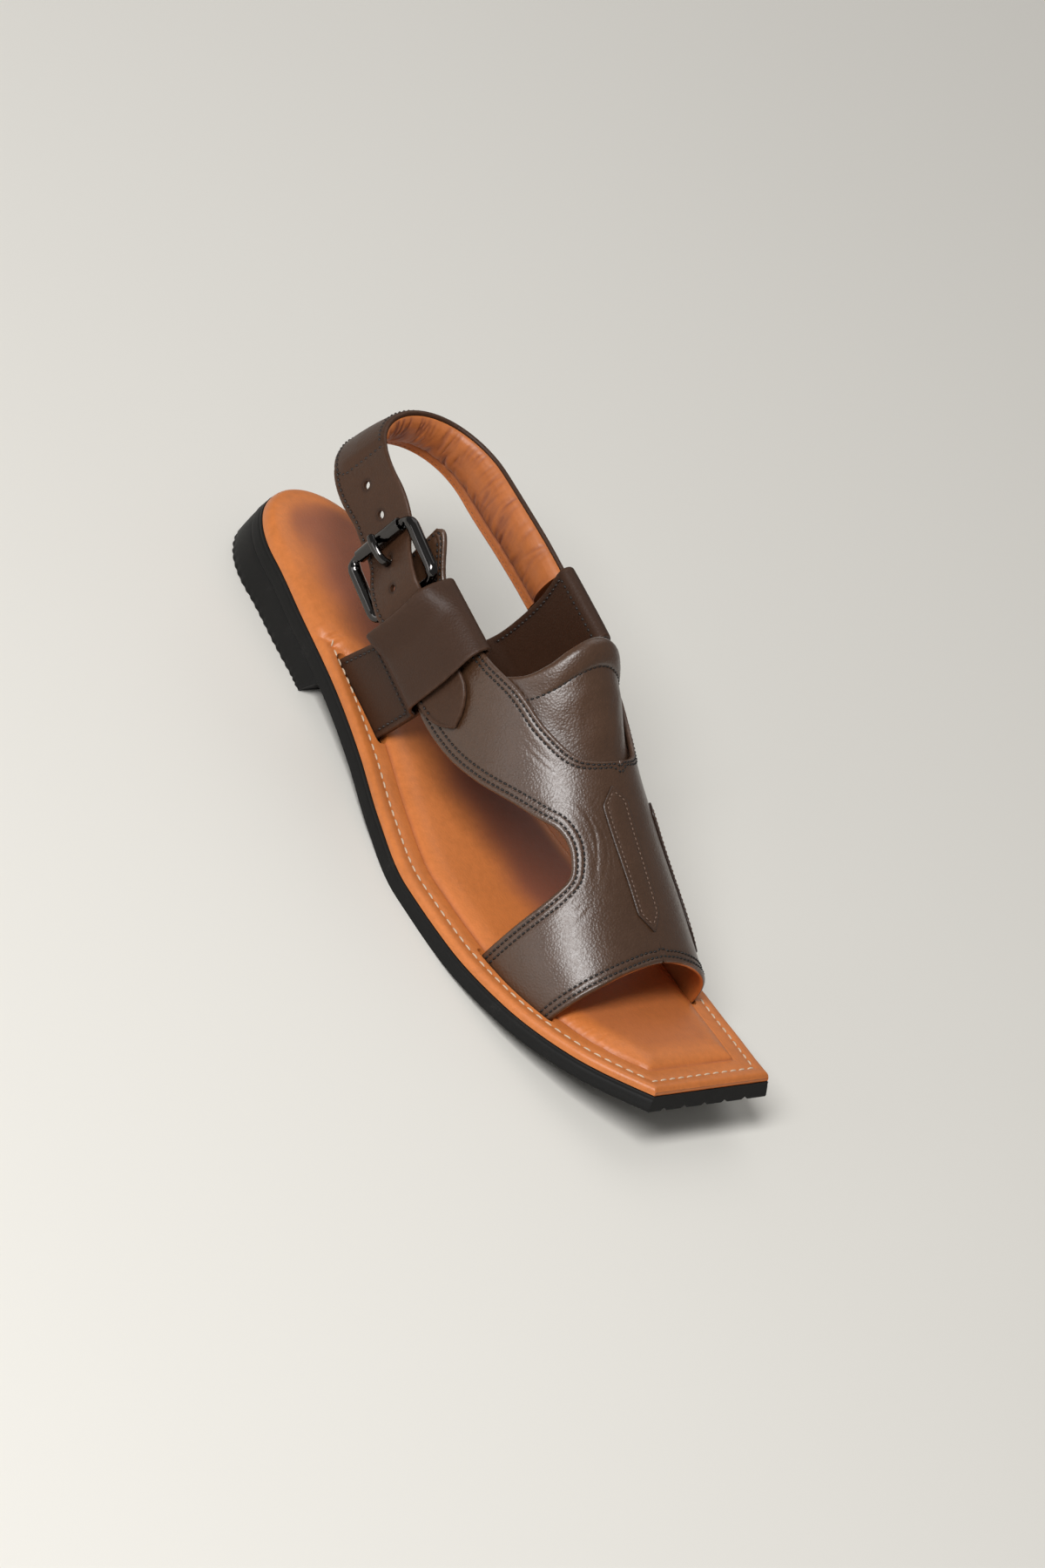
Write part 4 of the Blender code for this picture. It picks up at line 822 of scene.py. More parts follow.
def strip_width(row, sign):
    """Breadth of the strip over the last, summed along thirty steps."""
    station, turn = vamp_spot(row[:, None], np.linspace(0, 1, 31)[None, :], sign)
    return np.linalg.norm(np.diff(last_surface(station, sign * turn), axis=1), axis=-1).sum(1)


def columns_for(width, border, core):
    """Shares across a strip: fixed distances from both edges, and even steps between."""
    squeeze = np.minimum(1, 0.47 * width / border[-1])
    near = border * (squeeze / width)[:, None]
    between = blend(near[:, -1:], 1 - near[:, -1:], np.linspace(0, 1, core + 2)[None, 1:-1])
    return np.concatenate([near, between, 1 - near[:, ::-1]], axis=1)


def ridge_way(row):
    """Distance walked along the ridge from the toe edge or from the throat, whichever is nearer."""
    return RIDGE_PER_ROW * np.maximum(0, np.minimum(row - TOE_ROW, THROAT_ROW - row))


# %% Vamp surface
# Rows with creases: across the band, round the cut-out's apex and beside the throat
BAND_ROW, APEX_ROW, WING_ROW = 3.1, 5.6, 9.4


def vamp_relief(row, near, far_edge):
    """Sewn grooves along both edges, and soft creases."""
    groove = sum(0.17 * hump(d, seam, SEAM_REACH) for d in (near, far_edge) for seam in SEAMS)
    puff = sum(0.10 * hump(d, 0.9, 0.8) + 0.07 * hump(d, 3.35, 0.6) for d in (near, far_edge))
    apex = hump(row, APEX_ROW, 1.5)
    creases = sum(deep * hump(near + 0.7 * np.sin(row * 2.1 + spot), spot, 0.55)
                  for spot, deep in ((7.6, 0.16), (9.6, 0.22), (11.9, 0.15), (14.6, 0.08)))
    slant = near + 1.2 * (row - BAND_ROW)
    band = hump(row, BAND_ROW, 0.5) * sum(0.17 * hump(slant, spot, 0.6) for spot in (7.4, 9.8, 12.8))
    throat = hump(row, WING_ROW, 0.8) * sum(0.08 * hump(far_edge, spot, 0.7) for spot in (8.2, 10.6))
    return puff - groove - apex * creases - band - throat


def vamp_half(sign):
    """Outer and inner sheets of one half, with the values its leather reads."""
    last_row, end_step = HALVES[sign]
    row = np.concatenate([np.linspace(0, last_row - 1.1 / end_step, last_row * ROW_STEPS),
                          last_row - BORDER[4::-1] / end_step])
    width = strip_width(row, sign)
    share = columns_for(width, BORDER, CORE_COLUMNS)
    station, turn = vamp_spot(row[:, None], share, sign)
    near = share * width[:, None]
    far_edge = (1 - share) * width[:, None] + ridge_way(row)[:, None]
    end = (last_row - row)[:, None] * end_step
    far = np.minimum(np.minimum(near, far_edge), end)
    middle = shell(station, sign * turn, np.full(station.shape, VAMP_WALL / 2))
    normal = last_normal(station, sign * turn)
    outer, inner = skin(middle, normal, VAMP_WALL / 2, far)
    outer = outer + normal * (vamp_relief(row[:, None], near, far_edge) * ease(far, 0, 0.9))[..., None]
    rubbed = np.exp(-far / 0.7)
    # Painted shade: darker seam grooves. The lining's value is painted shade too: dark inside the vamp and
    # near the cut-out, lighter towards the toe and throat edges where light gets in.
    shade = 0.35 * sum(hump(d, seam, SEAM_REACH) for d in (near, far_edge) for seam in SEAMS)
    lining = 0.55 - 0.50 * np.exp(-far_edge / 9) + 0.35 * np.exp(-near / 10)
    return (outer, inner), rubbed, shade, lining


# The lining is tan under the toes and instep, and brown along the wings, where it is painted half dark as
# shade
grids, rubbed, shade = [], [], []
cut = int((THROAT_ROW - 0.6) * ROW_STEPS)
for sign in (-1, 1):
    sheets, worn, dark, lining = vamp_half(sign)
    grids += [sheets[0], sheets[1][:cut + 1], sheets[1][cut:]]
    rubbed += [worn, 0 * worn[:cut + 1], 0 * worn[cut:]]
    shade += [dark, lining[:cut + 1], 0.5 + 0 * lining[cut:]]
add_piece("vamp_leather", grids, [BROWN, TAN], {"rubbed": rubbed, "shade": shade}, ["vamp"],
          grid_finish=[0, 1, 0, 0, 1, 0], sharp=LEATHER_SHARP)

# %% [markdown]
# ## Raised patches
# Two long hexagons of the same leather lie on the instep. The second one shows only as a line on the
# photo's outline, so it is a guess. Each is a small sheet whose breadth narrows to a point at both ends,
# lifted off the vamp and rounded at its rim by `skin`.

# %% Patches
PATCH_WALL, PATCH_HALF_WIDE, PATCH_TIP, PATCH_LENGTH, TURN_PER_MM = 0.8, 5.2, 7.0, 56.0, 0.0155
PATCH_LIFT, PATCH_SEAM = 0.02, 1.6
# Rear and front end of each patch, as station and turn
PATCHES = {"patch_lateral": (188.5, -0.090, 239.5, -0.025), "patch_medial": (190.5, 0.345, 238.0, 0.615)}


def patch_spot(ends, share, across):
    """Station and turn on a patch: share along it, across from -1 to 1, and its distance from the rim."""
    tip = np.minimum(share, 1 - share) * PATCH_LENGTH
    wide = PATCH_HALF_WIDE * np.minimum(tip / PATCH_TIP, 1.0)
    wide = PATCH_HALF_WIDE - np.logaddexp(0, (PATCH_HALF_WIDE - wide - 0.3) * 4) / 4
    wide = np.clip(wide, 0.02, None)
    station = ends[0] + (ends[2] - ends[0]) * share
    turn = ends[1] + (ends[3] - ends[1]) * share + across * wide * TURN_PER_MM
    rim = np.minimum((1 - np.abs(across)) * wide, 0.8 * tip)
    return station + 0 * across, turn, rim


tips = np.array([0, 0.05, 0.2, 0.4, 0.7, 1.1, 1.8, 2.6, 3.6, 4.6, 5.6, 6.6, 7.6, 8.6]) / PATCH_LENGTH
share = np.concatenate([tips, np.linspace(tips[-1], 1 - tips[-1], 40)[1:-1], 1 - tips[::-1]])[:, None]
for name, ends in PATCHES.items():
    station, turn, rim = patch_spot(ends, share, crowded(25, 1.5))
    middle = shell(station, turn, np.full(station.shape, VAMP_WALL + PATCH_LIFT + PATCH_WALL / 2))
    normal = last_normal(station, turn)
    outer, inner = skin(middle, normal, PATCH_WALL / 2 + 0.05, rim)
    sewn = hump(rim, PATCH_SEAM, SEAM_REACH)
    outer = outer - normal * (0.16 * sewn - 0.1 * ease(rim, 1.8, 4))[..., None]
    # Painted shade: a dark shadow line round the rim, and a darker seam groove.
    shade = 0.9 * np.exp(-rim / 0.4) + 0.4 * sewn
    add_piece(name + "_leather", [outer, inner], [BROWN], {"shade": [shade] * 2}, [name],
              sharp=LEATHER_SHARP)

# %% [markdown]
# ## Tongue
# The tongue is a soft padded piece under the throat, with a rolled top above a seam. It lies on the last
# just under the vamp. Its outer face swells where the throat leaves it free, most of all along the roll.

# %% Tongue
TONGUE_WALL, TONGUE_CLEAR, TONGUE_FOOT, TONGUE_SWELL, TONGUE_ROLL = 2.6, 0.5, 192.0, 1.0, 1.9
TONGUE_UNDER, TONGUE_SEAM, TONGUE_SEAM_REACH = (168.0, 177.0), 0.165, 0.012
TONGUE_MM_PER_TURN, TONGUE_LONG = 66, 56
# Station and breadth as a turn; then share of the breadth and station of the top edge
TONGUE = np.array([(128, 0.60), (140, 0.56), (150, 0.50), (165, 0.42), (180, 0.34), (192, 0.25)])
TONGUE_TOP = np.array([(0, 136.0), (0.35, 137.2), (0.6, 138.0), (0.8, 136.0), (1, 129.0)])


def tongue_spot(across, down):
    """Station, turn, outer offset and distance to the rim on the tongue."""
    top = flow(np.abs(across), TONGUE_TOP[:, 0], TONGUE_TOP[:, 1], first=0.0)
    station = top + (TONGUE_FOOT - top) * down
    breadth = read(TONGUE, 1, station)
    turn = across * breadth
    throat = np.interp(station, VAMP[:THROAT_ROW - 1:-1, 2], VAMP[:THROAT_ROW - 1:-1, 3])
    free = np.clip(1 - (np.abs(turn) / np.maximum(throat - 0.04, 0.02)) ** 2, 0, 1)
    free = free * (1 - ease(station, *TONGUE_UNDER))
    roll = np.sqrt(np.maximum(np.sin(math.pi * np.clip(down / TONGUE_SEAM, 0, 1)), 0))
    panel = ease(down, TONGUE_SEAM, TONGUE_SEAM + 0.16)
    fold = 0.10 * ripple(across * 40 + down * 30, 21, (9.0, 14.0, 21.0)) * ease(down, 0.2, 0.4)
    offset = free * (TONGUE_ROLL * roll + (TONGUE_SWELL + fold) * panel) - TONGUE_CLEAR
    offset = offset - 0.22 * free * hump(down, TONGUE_SEAM, TONGUE_SEAM_REACH)
    sideways = (1 - np.abs(across)) * breadth * TONGUE_MM_PER_TURN
    rim = np.minimum(sideways, np.minimum(down, 1.02 - down) * TONGUE_LONG)
    return station, turn, offset, rim


down = np.concatenate([
    [0, 0.002, 0.006, 0.012, 0.02], np.linspace(0.03, 0.15, 16), np.linspace(0.154, 0.18, 9),
    np.linspace(0.19, 0.97, 60), [0.98, 0.99, 1.0]])[:, None]
station, turn, offset, rim = tongue_spot(crowded(71, 1.25), down)
inner_offset = -TONGUE_CLEAR - TONGUE_WALL + 0 * offset
half = (offset - inner_offset) / 2
middle = shell(station, turn, (offset + inner_offset) / 2)
outer, inner = skin(middle, last_normal(station, turn), half, rim)
# Painted shade: darker along the seam's groove, and the tan underside half dark.
tongue = add_piece("tongue_leather", [outer, inner], [BROWN, TAN],
                   {"rubbed": [0.5 * np.exp(-rim / 0.9), 0 * rim],
                    "shade": [0.35 * hump(down, TONGUE_SEAM, TONGUE_SEAM_REACH) + 0 * rim, 0.5 + 0 * rim]},
                   ["tongue"], grid_finish=[0, 1], sharp=LEATHER_SHARP)

# %% [markdown]
# ## Side loops
# On each side a strip of leather comes up out of the footbed, folds over at the top and goes down again
# into the same slit. Its two layers are sewn together low down and part above, to hold wing, strap and tab.
# It is a profile of height and distance from the last, carried along the sole between a rear and a front
# edge.

# %% Side loops
LOOP_WALL, LOOP_SPLIT = 1.4, 24.0
LOOP_TOP, LOOP_SHIFT, LOOP_SWELL = {-1: 66.5, 1: 74.0}, {-1: 0.0, 1: 3.0}, {-1: 4.0, 1: 0.0}
# Height and distance from the last on the outer and the inner side of the foot
LOOP = np.array([
    (0.3, -4.0, -4.0), (12, -3.2, -3.2), (24, -2.3, -2.3), (30, -1.1, -1.1), (45, -1.0, -1.0),
    (56, -1.0, -1.0), (63, -1.0, -1.0), (65.7, 0.0, 0.0), (66.5, 2.0, 2.2), (65.7, 4.3, 4.3),
    (62.6, 7.0, 5.9), (57.5, 8.3, 6.3), (50, 8.5, 6.3), (34, 8.3, 6.1), (30, 6.4, 4.8),
    (27, 3.4, 3.2), (24, -0.5, -0.5), (12, -1.4, -1.4), (0.3, -2.2, -2.2)])
# Height, rear edge and front edge
LOOP_EDGES = np.array([(0, 77.5, 112.0), (36, 89.5, 120.0), (54, 91.5, 121.5), (66.5, 91.0, 120.0)])
LOOP_NAMES = {-1: "loop_lateral", 1: "loop_medial"}
# Row where the outer layer is sewn across; parts of a row, and how many of them a corner is rounded over
CROSS_ROW, ROW_PARTS, ROW_SOFT = 16.2, 40, 9.0
# Distance over which a rubbed edge fades
EDGE_WEAR = 0.6


def soften(values, width, mirrored=False):
    """Values smoothed by a bell of this many samples, with both ends repeated or mirrored."""
    reach = int(3 * width)
    bell = np.exp(-0.5 * (np.arange(-reach, reach + 1) / width) ** 2)
    if mirrored:
        before, after = 2 * values[0] - values[reach:0:-1], 2 * values[-1] - values[-2:-reach - 2:-1]
    else:
        before, after = np.repeat(values[:1], reach), np.repeat(values[-1:], reach)
    return np.convolve(np.concatenate([before, values, after]), bell / bell.sum(), mode="valid")


def loop_sheet(sign, turn, share):
    """Middle of a loop's leather: turn counts the rows of its profile, share goes from rear to front edge."""
    index = np.arange(len(LOOP), dtype=float)
    fine = np.linspace(0, len(LOOP) - 1, 1 + ROW_PARTS * (len(LOOP) - 1))
    low, offset = (np.interp(turn, fine, soften(smooth(fine, index, LOOP[:, k]), ROW_SOFT))
                   for k in (0, 1 if sign < 0 else 2))
    rear, front = (smooth(low, LOOP_EDGES[:, 0], LOOP_EDGES[:, k]) for k in (1, 2))
    station = rear + (front - rear) * share + LOOP_SHIFT[sign]
    stretch = (LOOP_TOP[sign] - LOOP_SPLIT) / (LOOP_TOP[-1] - LOOP_SPLIT)
    height = low + np.maximum(low - LOOP_SPLIT, 0) * (stretch - 1)
    swell = LOOP_SWELL[sign] * (1 - ease(share, 0, 0.4)) * ease(offset, 3.5, 8.0)
    return beside(station, height + 0 * share, sign, offset + swell)


def grid_normal(points):
    """Direction square to a grid of points, from differences along both ways."""
    return unit(np.cross(np.gradient(points, axis=0), np.gradient(points, axis=1)))


LOOP_BORDER = np.array([0, 0.05, 0.2, 0.43, 0.7, 1.1, 1.6, 2.0, 2.4, 3.0, 4.0])
turns = np.linspace(0, len(LOOP) - 1, 220)[:, None]
for sign, name in LOOP_NAMES.items():
    coarse = loop_sheet(sign, turns, np.linspace(0, 1, 9)[None, :])
    width = np.linalg.norm(np.diff(coarse, axis=1), axis=-1).sum(1)
    share = columns_for(width, LOOP_BORDER, 18)
    middle = loop_sheet(sign, turns, share)
    far = np.minimum(share, 1 - share) * width[:, None]
    ends = np.minimum(turns, len(LOOP) - 1 - turns) * 12
    sewn = (turns > CROSS_ROW) | ((turns > 2.5) & (turns < 6.3))
    outer, inner = skin(middle, grid_normal(middle), LOOP_WALL / 2, np.minimum(far, ends))
    # A darker tone all over the loop (0.40); on top of it, painted shade in the seam grooves and along the
    # cross seam.
    shade = 0.40 + 0.4 * np.maximum(hump(far, 2.3, 0.6) * sewn, hump(turns, CROSS_ROW, 0.06))
    add_piece(name + "_leather", [outer, inner], [MATT_BROWN],
              {"rubbed": [np.exp(-far / EDGE_WEAR)] * 2, "shade": [shade] * 2}, [name],
              sharp=LEATHER_SHARP)

# %% [markdown]
# ## Heel strap
# One long strap starts at a pointed tip under the outer loop, runs back through the buckle, round the heel,
# and into the inner loop. A bevelled curve would give it a round section and twist it. Here the middle line
# carries its own upright and outward directions, so the strap leans with the ankle, and its width narrows
# to the tip.

# %% Strap line
STRAP_WALL, STRAP_BACK, STRAP_BACK_HEIGHT, STRAP_BACK_HALF, STRAP_BACK_LEAN = 1.8, 19.5, 58.8, 12.6, -0.38
STRAP_TURN, STRAP_ARC_POWER, LEAN_REACH, STRAP_PITCH = 50.0, 2.2, 9.0, 0.6
# How far each column of the rows is smoothed, in samples; the width least, for the tip
STRAP_SOFT = (5.0, 5.0, 5.0, 1.0, 5.0)
# Station, height, distance from the last and half width along the strap, on the outer and the inner side
STRAP_OUTER = np.array([
    (136.0, 41.6, 3.4, 0.6), (133.5, 41.9, 3.4, 4.4), (129.5, 42.5, 3.4, 8.2), (124.0, 43.2, 3.5, 10.7),
    (119.0, 43.9, 4.4, 11.0), (114.5, 44.6, 5.6, 11.0), (108.0, 45.6, 6.0, 11.0), (97.5, 47.5, 6.4, 11.0),
    (95.0, 48.0, 6.8, 11.0), (93.0, 48.4, 7.7, 11.0), (91.0, 48.8, 9.1, 11.0), (89.0, 49.2, 10.1, 11.2),
    (87.0, 49.5, 10.4, 11.5), (84.5, 49.9, 9.9, 11.8), (81.0, 50.5, 9.2, 12.0), (77.0, 51.2, 8.0, 12.2),
    (73.0, 51.9, 6.0, 12.3), (69.5, 52.6, 3.9, 12.5), (65.5, 53.4, 2.75, 12.7), (60.0, 55.0, 2.6, 13.0),
    (54.0, 57.0, 2.6, 13.2)])
STRAP_INNER = np.array([(55.0, 58.5, 2.6, 12.8), (70.0, 58.5, 2.8, 12.6), (84.0, 57.8, 3.3, 12.6),
                        (93.0, 57.2, 3.4, 12.6), (102.0, 56.4, 3.4, 12.4), (113.0, 55.4, 3.4, 12.0)])


def strap_beside(table, sign):
    """Rows of station, side, height, half width and lean where the strap follows the last's wall."""
    station, height, offset, wide = table.T
    wall, above, below = (wall_side(station, height + step, sign) for step in (0.0, LEAN_REACH, -LEAN_REACH))
    lean = (above - below) / (2 * LEAN_REACH)
    return np.stack([station, sign * (wall + offset), height, wide, lean], axis=1)


def strap_rows():
    """Rows of the whole strap; round the heel they lie on a superellipse between both sides."""
    outer, inner = strap_beside(STRAP_OUTER, -1), strap_beside(STRAP_INNER, 1)
    angle = np.radians(np.linspace(-90, 90, 19))
    near = np.where(angle[:, None] < 0, outer[-1], inner[0])
    back = np.maximum(np.cos(angle), 0) ** (2 / STRAP_ARC_POWER)
    sideways = np.abs(np.sin(angle)) ** (2 / STRAP_ARC_POWER)
    arc = np.stack([STRAP_TURN - (STRAP_TURN - STRAP_BACK) * back, near[:, 1] * sideways,
                    STRAP_BACK_HEIGHT + (near[:, 2] - STRAP_BACK_HEIGHT) * (1 - back),
                    STRAP_BACK_HALF + (near[:, 3] - STRAP_BACK_HALF) * ease(1 - back, 0.2, 1),
                    near[:, 4] * sideways + STRAP_BACK_LEAN * back], axis=1)
    return np.concatenate([outer, arc, inner])


rough = strap_rows()
knots = walked_along(place(*rough[:, :3].T))
walk = np.linspace(0, knots[-1], int(knots[-1] / STRAP_PITCH))
strap = np.stack([soften(flow(walk, knots, rough[:, k]), width, mirrored=True)
                  for k, width in enumerate(STRAP_SOFT)], axis=1)
strap_wide = np.maximum(strap[:, 3], 0.3)[:, None]
strap_middle = place(*strap[:, :3].T)
strap_forward = unit(np.gradient(strap_middle, axis=0))
side_on = unit(np.cross(UPWARDS, strap_forward))
strap_up = UPWARDS + side_on * strap[:, 4:5]
strap_up = unit(strap_up - strap_forward * (strap_forward * strap_up).sum(1, keepdims=True))
strap_out = np.cross(strap_up, strap_forward)
back_row = strap[:, 0].argmin()
print("strap length in mm:", round(float(walk[-1]), 1))

# %% [markdown]
# The strap is brown on both faces and along its edges. Where the heel pad starts, a curved seam crosses it
# and the leather beyond stands up, padded from inside. Holes are real holes, cut with a Boolean, in small
# dimples.

# %% Strap leather
STRAP_BORDER = np.array([0, 0.06, 0.25, 0.55, 0.9, 1.4, 1.8, 2.1, 2.4, 3.0, 4.0])
STRAP_SEAM, SEAM_AFTER_HOLE, STRAP_BULGE = 2.1, 9.5, 1.0
# Station, half length and half width of each punched hole
HOLES = np.array([(44.5, 1.5, 1.5), (57.0, 1.5, 1.5), (73.4, 2.3, 1.5), (83.4, 1.3, 1.3)])
hole_rows = np.abs(strap[:back_row, 0][:, None] - HOLES[:, 0]).argmin(0)


def pad_start(across):
    """Where the padded part starts along the strap: a line across it with its lower corner rounded away."""
    return walk[hole_rows[0]] + SEAM_AFTER_HOLE + 6.0 * ease(-across, 0.45, 1.0) ** 2


def strap_bulge(along, across):
    """Outward swell of the padded part, rising behind its seam and flat at both edges."""
    behind = along - pad_start(across)
    swell = STRAP_BULGE * ease(behind, 0, 5.0) * np.clip(1 - across ** 2, 0, 1) ** 0.7
    return swell * (1 - ease(along, walk[-1] - 40, walk[-1] - 25)) - 0.2 * hump(behind, 0, 0.7)


share = columns_for(2 * strap_wide[:, 0], STRAP_BORDER, 14)
across = 2 * share - 1
far = np.minimum((1 - np.abs(across)) * strap_wide, np.minimum(walk, walk[-1] - walk)[:, None])
middle = strap_middle[:, None] + strap_up[:, None] * (across * strap_wide)[..., None]
normal = np.broadcast_to(strap_out[:, None], middle.shape)
outer, inner = skin(middle, normal, STRAP_WALL / 2, far)
lower = (across + 1) * strap_wide
dent = 0.16 * hump(lower, STRAP_SEAM, SEAM_REACH)
round_hole = np.linspace(0, 2 * math.pi, 25)[:-1]
cutters = []
for k, (_, half_long, half_wide) in zip(hole_rows, HOLES):
    spread = np.hypot((walk[:, None] - walk[k]) / half_long, across * strap_wide / half_wide)
    dent = dent + 0.30 * hump(spread, 0.9, 0.75)
    ring = (strap_forward[k] * (half_long * np.cos(round_hole))[:, None]
            + strap_up[k] * (half_wide * np.sin(round_hole))[:, None])
    cutters.append(strap_middle[k] + ring + strap_out[k] * np.array([-4.0, 4.0])[:, None, None])
relief = strap_bulge(walk[:, None], across) - dent * ease(far, 0, 0.9)
outer = outer + normal * relief[..., None]
# Painted shade in the seam groove and the hole dimples; the inner face is a little darker all over.
values = {"rubbed": [np.exp(-far / EDGE_WEAR), 0 * far], "shade": [3.0 * dent, 0.3 + 0 * far]}
strap_leather = add_piece("strap_leather", [outer, inner], [MATT_BROWN], values, ["heel_strap"],
                          sharp=LEATHER_SHARP)
carve(strap_leather, cutters)

# %% [markdown]
# ## Strap pad
# Inside the strap, round the heel, sits a tan padded roll above a flat sewn margin. Its leather is gathered
# along the crease where the strap bends, in short slanted pleats. The pleats are narrow troughs at uneven
# places along the pad, each with its own depth, slant and length, so that no two look alike.

# %% Strap pad
# The ends are counted in rows of the strap, from its tip and from its other end
PAD_MARGIN, PAD_INSET, PAD_ENDS, MARGIN_SEAM = 5.0, 0.9, (24, 2), 0.36
# Share of the width above the crease, and depth of the roll
ROLL = np.array([(0, 0.65), (0.03, 1.35), (0.1, 2.6), (0.25, 3.8), (0.5, 4.4), (0.72, 4.0), (0.88, 2.9),
                 (0.97, 1.5), (1.0, 0.5)])
chance = np.random.default_rng(14)
PLEATS = 230


def pleats(along, above):
    """Troughs of the gathers, each a narrow bell along the strap and a wide one across the roll."""
    first, last = along.min(), along.max()
    spot, deep = chance.uniform(first, last, PLEATS), chance.uniform(0.12, 0.36, PLEATS)
    narrow, slant = chance.uniform(0.38, 0.85, PLEATS), chance.uniform(-5.0, 3.0, PLEATS)
    centre, length = chance.choice([0.08, 0.2, 0.5, 0.85], PLEATS), chance.uniform(0.12, 0.34, PLEATS)
    deep = deep * (0.8 + 0.9 * hump(spot, walk[back_row] - 6.0, 26.0))
    bells = hump((along[..., None] - spot - slant * (above[..., None] - centre)) / narrow, 0, 1)
    return (deep * bells * hump((above[..., None] - centre) / length, 0, 1)).sum(-1)


first = np.searchsorted(walk, knots[PAD_ENDS[0]])
last = np.searchsorted(walk, knots[len(rough) - 1 - PAD_ENDS[1]])
rows = slice(first, last)
half = (strap_wide - PAD_INSET)[rows]
above = np.concatenate([
    np.linspace(0, 0.12, 9), np.linspace(0.15, 0.85, 22), np.linspace(0.88, 1.0, 8)])[None, :]
margin = np.array([0, 0.04, 0.15, 0.4, 0.6, 0.75, 0.85, 0.92, 0.97])[None, :]
lift = np.concatenate(
    [margin * PAD_MARGIN - half, PAD_MARGIN - half + (2 * half - PAD_MARGIN) * above], axis=1)
roll = flow(above, ROLL[:, 0], ROLL[:, 1])
along = walk[rows][:, None] + 0 * above
gather = pleats(along, above + 0 * along)
gather = gather + 0.10 * ripple(along + 4 * above, 31, (6.1, 9.7, 15.0)) * hump(above, 0.5, 0.4)
end_thin = 0.35 + 0.65 * ease(along - walk[first], 0, 9.0)
flat = 0.95 - 0.5 * (1 - ease(margin, 0, 0.12)) - 0.22 * hump(margin, MARGIN_SEAM, 0.09)
flat = flat - 0.35 * ease(margin, 0.8, 1.0)
depth = np.concatenate([flat + 0 * half, (roll - gather * ease(roll, 0.6, 2.0)) * end_thin], axis=1)
face = strap_middle[rows][:, None] - strap_out[rows][:, None] * (STRAP_WALL / 2 + 0.1)
up, out = strap_up[rows][:, None], strap_out[rows][:, None]
front = face + up * lift[..., None] - out * depth[..., None]
behind = face + up * lift[:, [-1, 30, 9, 0]][..., None]
points = np.concatenate([front, behind, front[:, :1]], axis=1)
# Painted shade in the pleats' troughs, along the roll's lower edge and where the margin meets the roll, over
# a darker tone all over (0.30).
dark = np.concatenate([0.5 * ease(margin, 0.8, 1.0) + 0 * half,
                       0.5 * hump(above, 0, 0.03) + 0.9 * np.minimum(gather, 0.6)], axis=1)
dark = np.concatenate([0.30 + dark, np.zeros((len(points), points.shape[1] - dark.shape[1]))], axis=1)
strap_pad = add_piece("strap_padding", [points], [TAN], {"shade": [dark]}, ["strap_pad"],
                      caps=end_caps(points))

# %% [markdown]
# ## Buckle
# A rounded frame of thick wire, a loose tube on its rear bar, and a prong hooked round the other bar that
# lies over the tube. A wire is a circle carried along a path. All three paths lie flat in a plane, so one
# fixed direction square to that plane keeps each circle from twisting.

# %% Buckle wires
BUCKLE_WIRE, BUCKLE_BAR, BUCKLE_HALF_WIDE, BUCKLE_CORNER = 2.4, 1.5, 16.0, 4.0
ROLLER_WALL, ROLLER_HALF_LONG, PRONG_WIRE, PRONG_TIP_WIRE = 0.8, 11.2, 0.8, 1.5
ROLLER_BAR, PIVOT_BAR = (65.2, 53.0, 6.7), (87.0, 49.3, 5.8)
roller, pivot = (beside(s, h, -1, offset) for s, h, offset in (ROLLER_BAR, PIVOT_BAR))
buckle_long = np.linalg.norm(pivot - roller)
b_forward = (pivot - roller) / buckle_long
middle_station = (ROLLER_BAR[0] + PIVOT_BAR[0]) / 2
top, bottom = (beside(middle_station, PIVOT_BAR[1] + step, -1, 0.0) for step in (LEAN_REACH, -LEAN_REACH))
tall = top - bottom
b_up = unit(tall - b_forward * (b_forward @ tall))
b_out = np.cross(b_forward, b_up)


def tube(path, radius, square, sides=20, flatten=1.0):
    """Rings of points round a flat path; square is the direction that stands on the path's plane."""
    ahead = unit(np.gradient(path, axis=0))
    across = np.cross(ahead, square)
    angle = np.linspace(0, 2 * math.pi, sides + 1)[None, :, None]
    ring = across[:, None] * np.cos(angle) * flatten + np.asarray(square) * np.sin(angle)
    return path[:, None] + ring * np.asarray(radius)[:, None, None]


corner = np.radians(np.linspace(0, 90, 15))
bend_x = np.concatenate([np.cos(corner + k * math.pi / 2) for k in range(4)])
bend_y = np.concatenate([np.sin(corner + k * math.pi / 2) for k in range(4)])
sign_x, sign_y = np.repeat([1, -1, -1, 1], 15), np.repeat([1, 1, -1, -1], 15)
long_way = sign_x * (buckle_long / 2 - BUCKLE_CORNER) + BUCKLE_CORNER * bend_x
wide_way = sign_y * (BUCKLE_HALF_WIDE - BUCKLE_CORNER) + BUCKLE_CORNER * bend_y
path = (roller + pivot) / 2 + b_forward * long_way[:, None] + b_up * wide_way[:, None]
thick = BUCKLE_WIRE + (BUCKLE_BAR - BUCKLE_WIRE) * ease(bend_x ** 2, 0.15, 1.0)
path, thick = (np.concatenate([part[-3:], part, part[:3]]) for part in (path, thick))
wires = tube(path, thick, b_out)[3:-2]
add_piece("buckle_wire", [wires], [GUNMETAL], None, ["buckle_frame"])

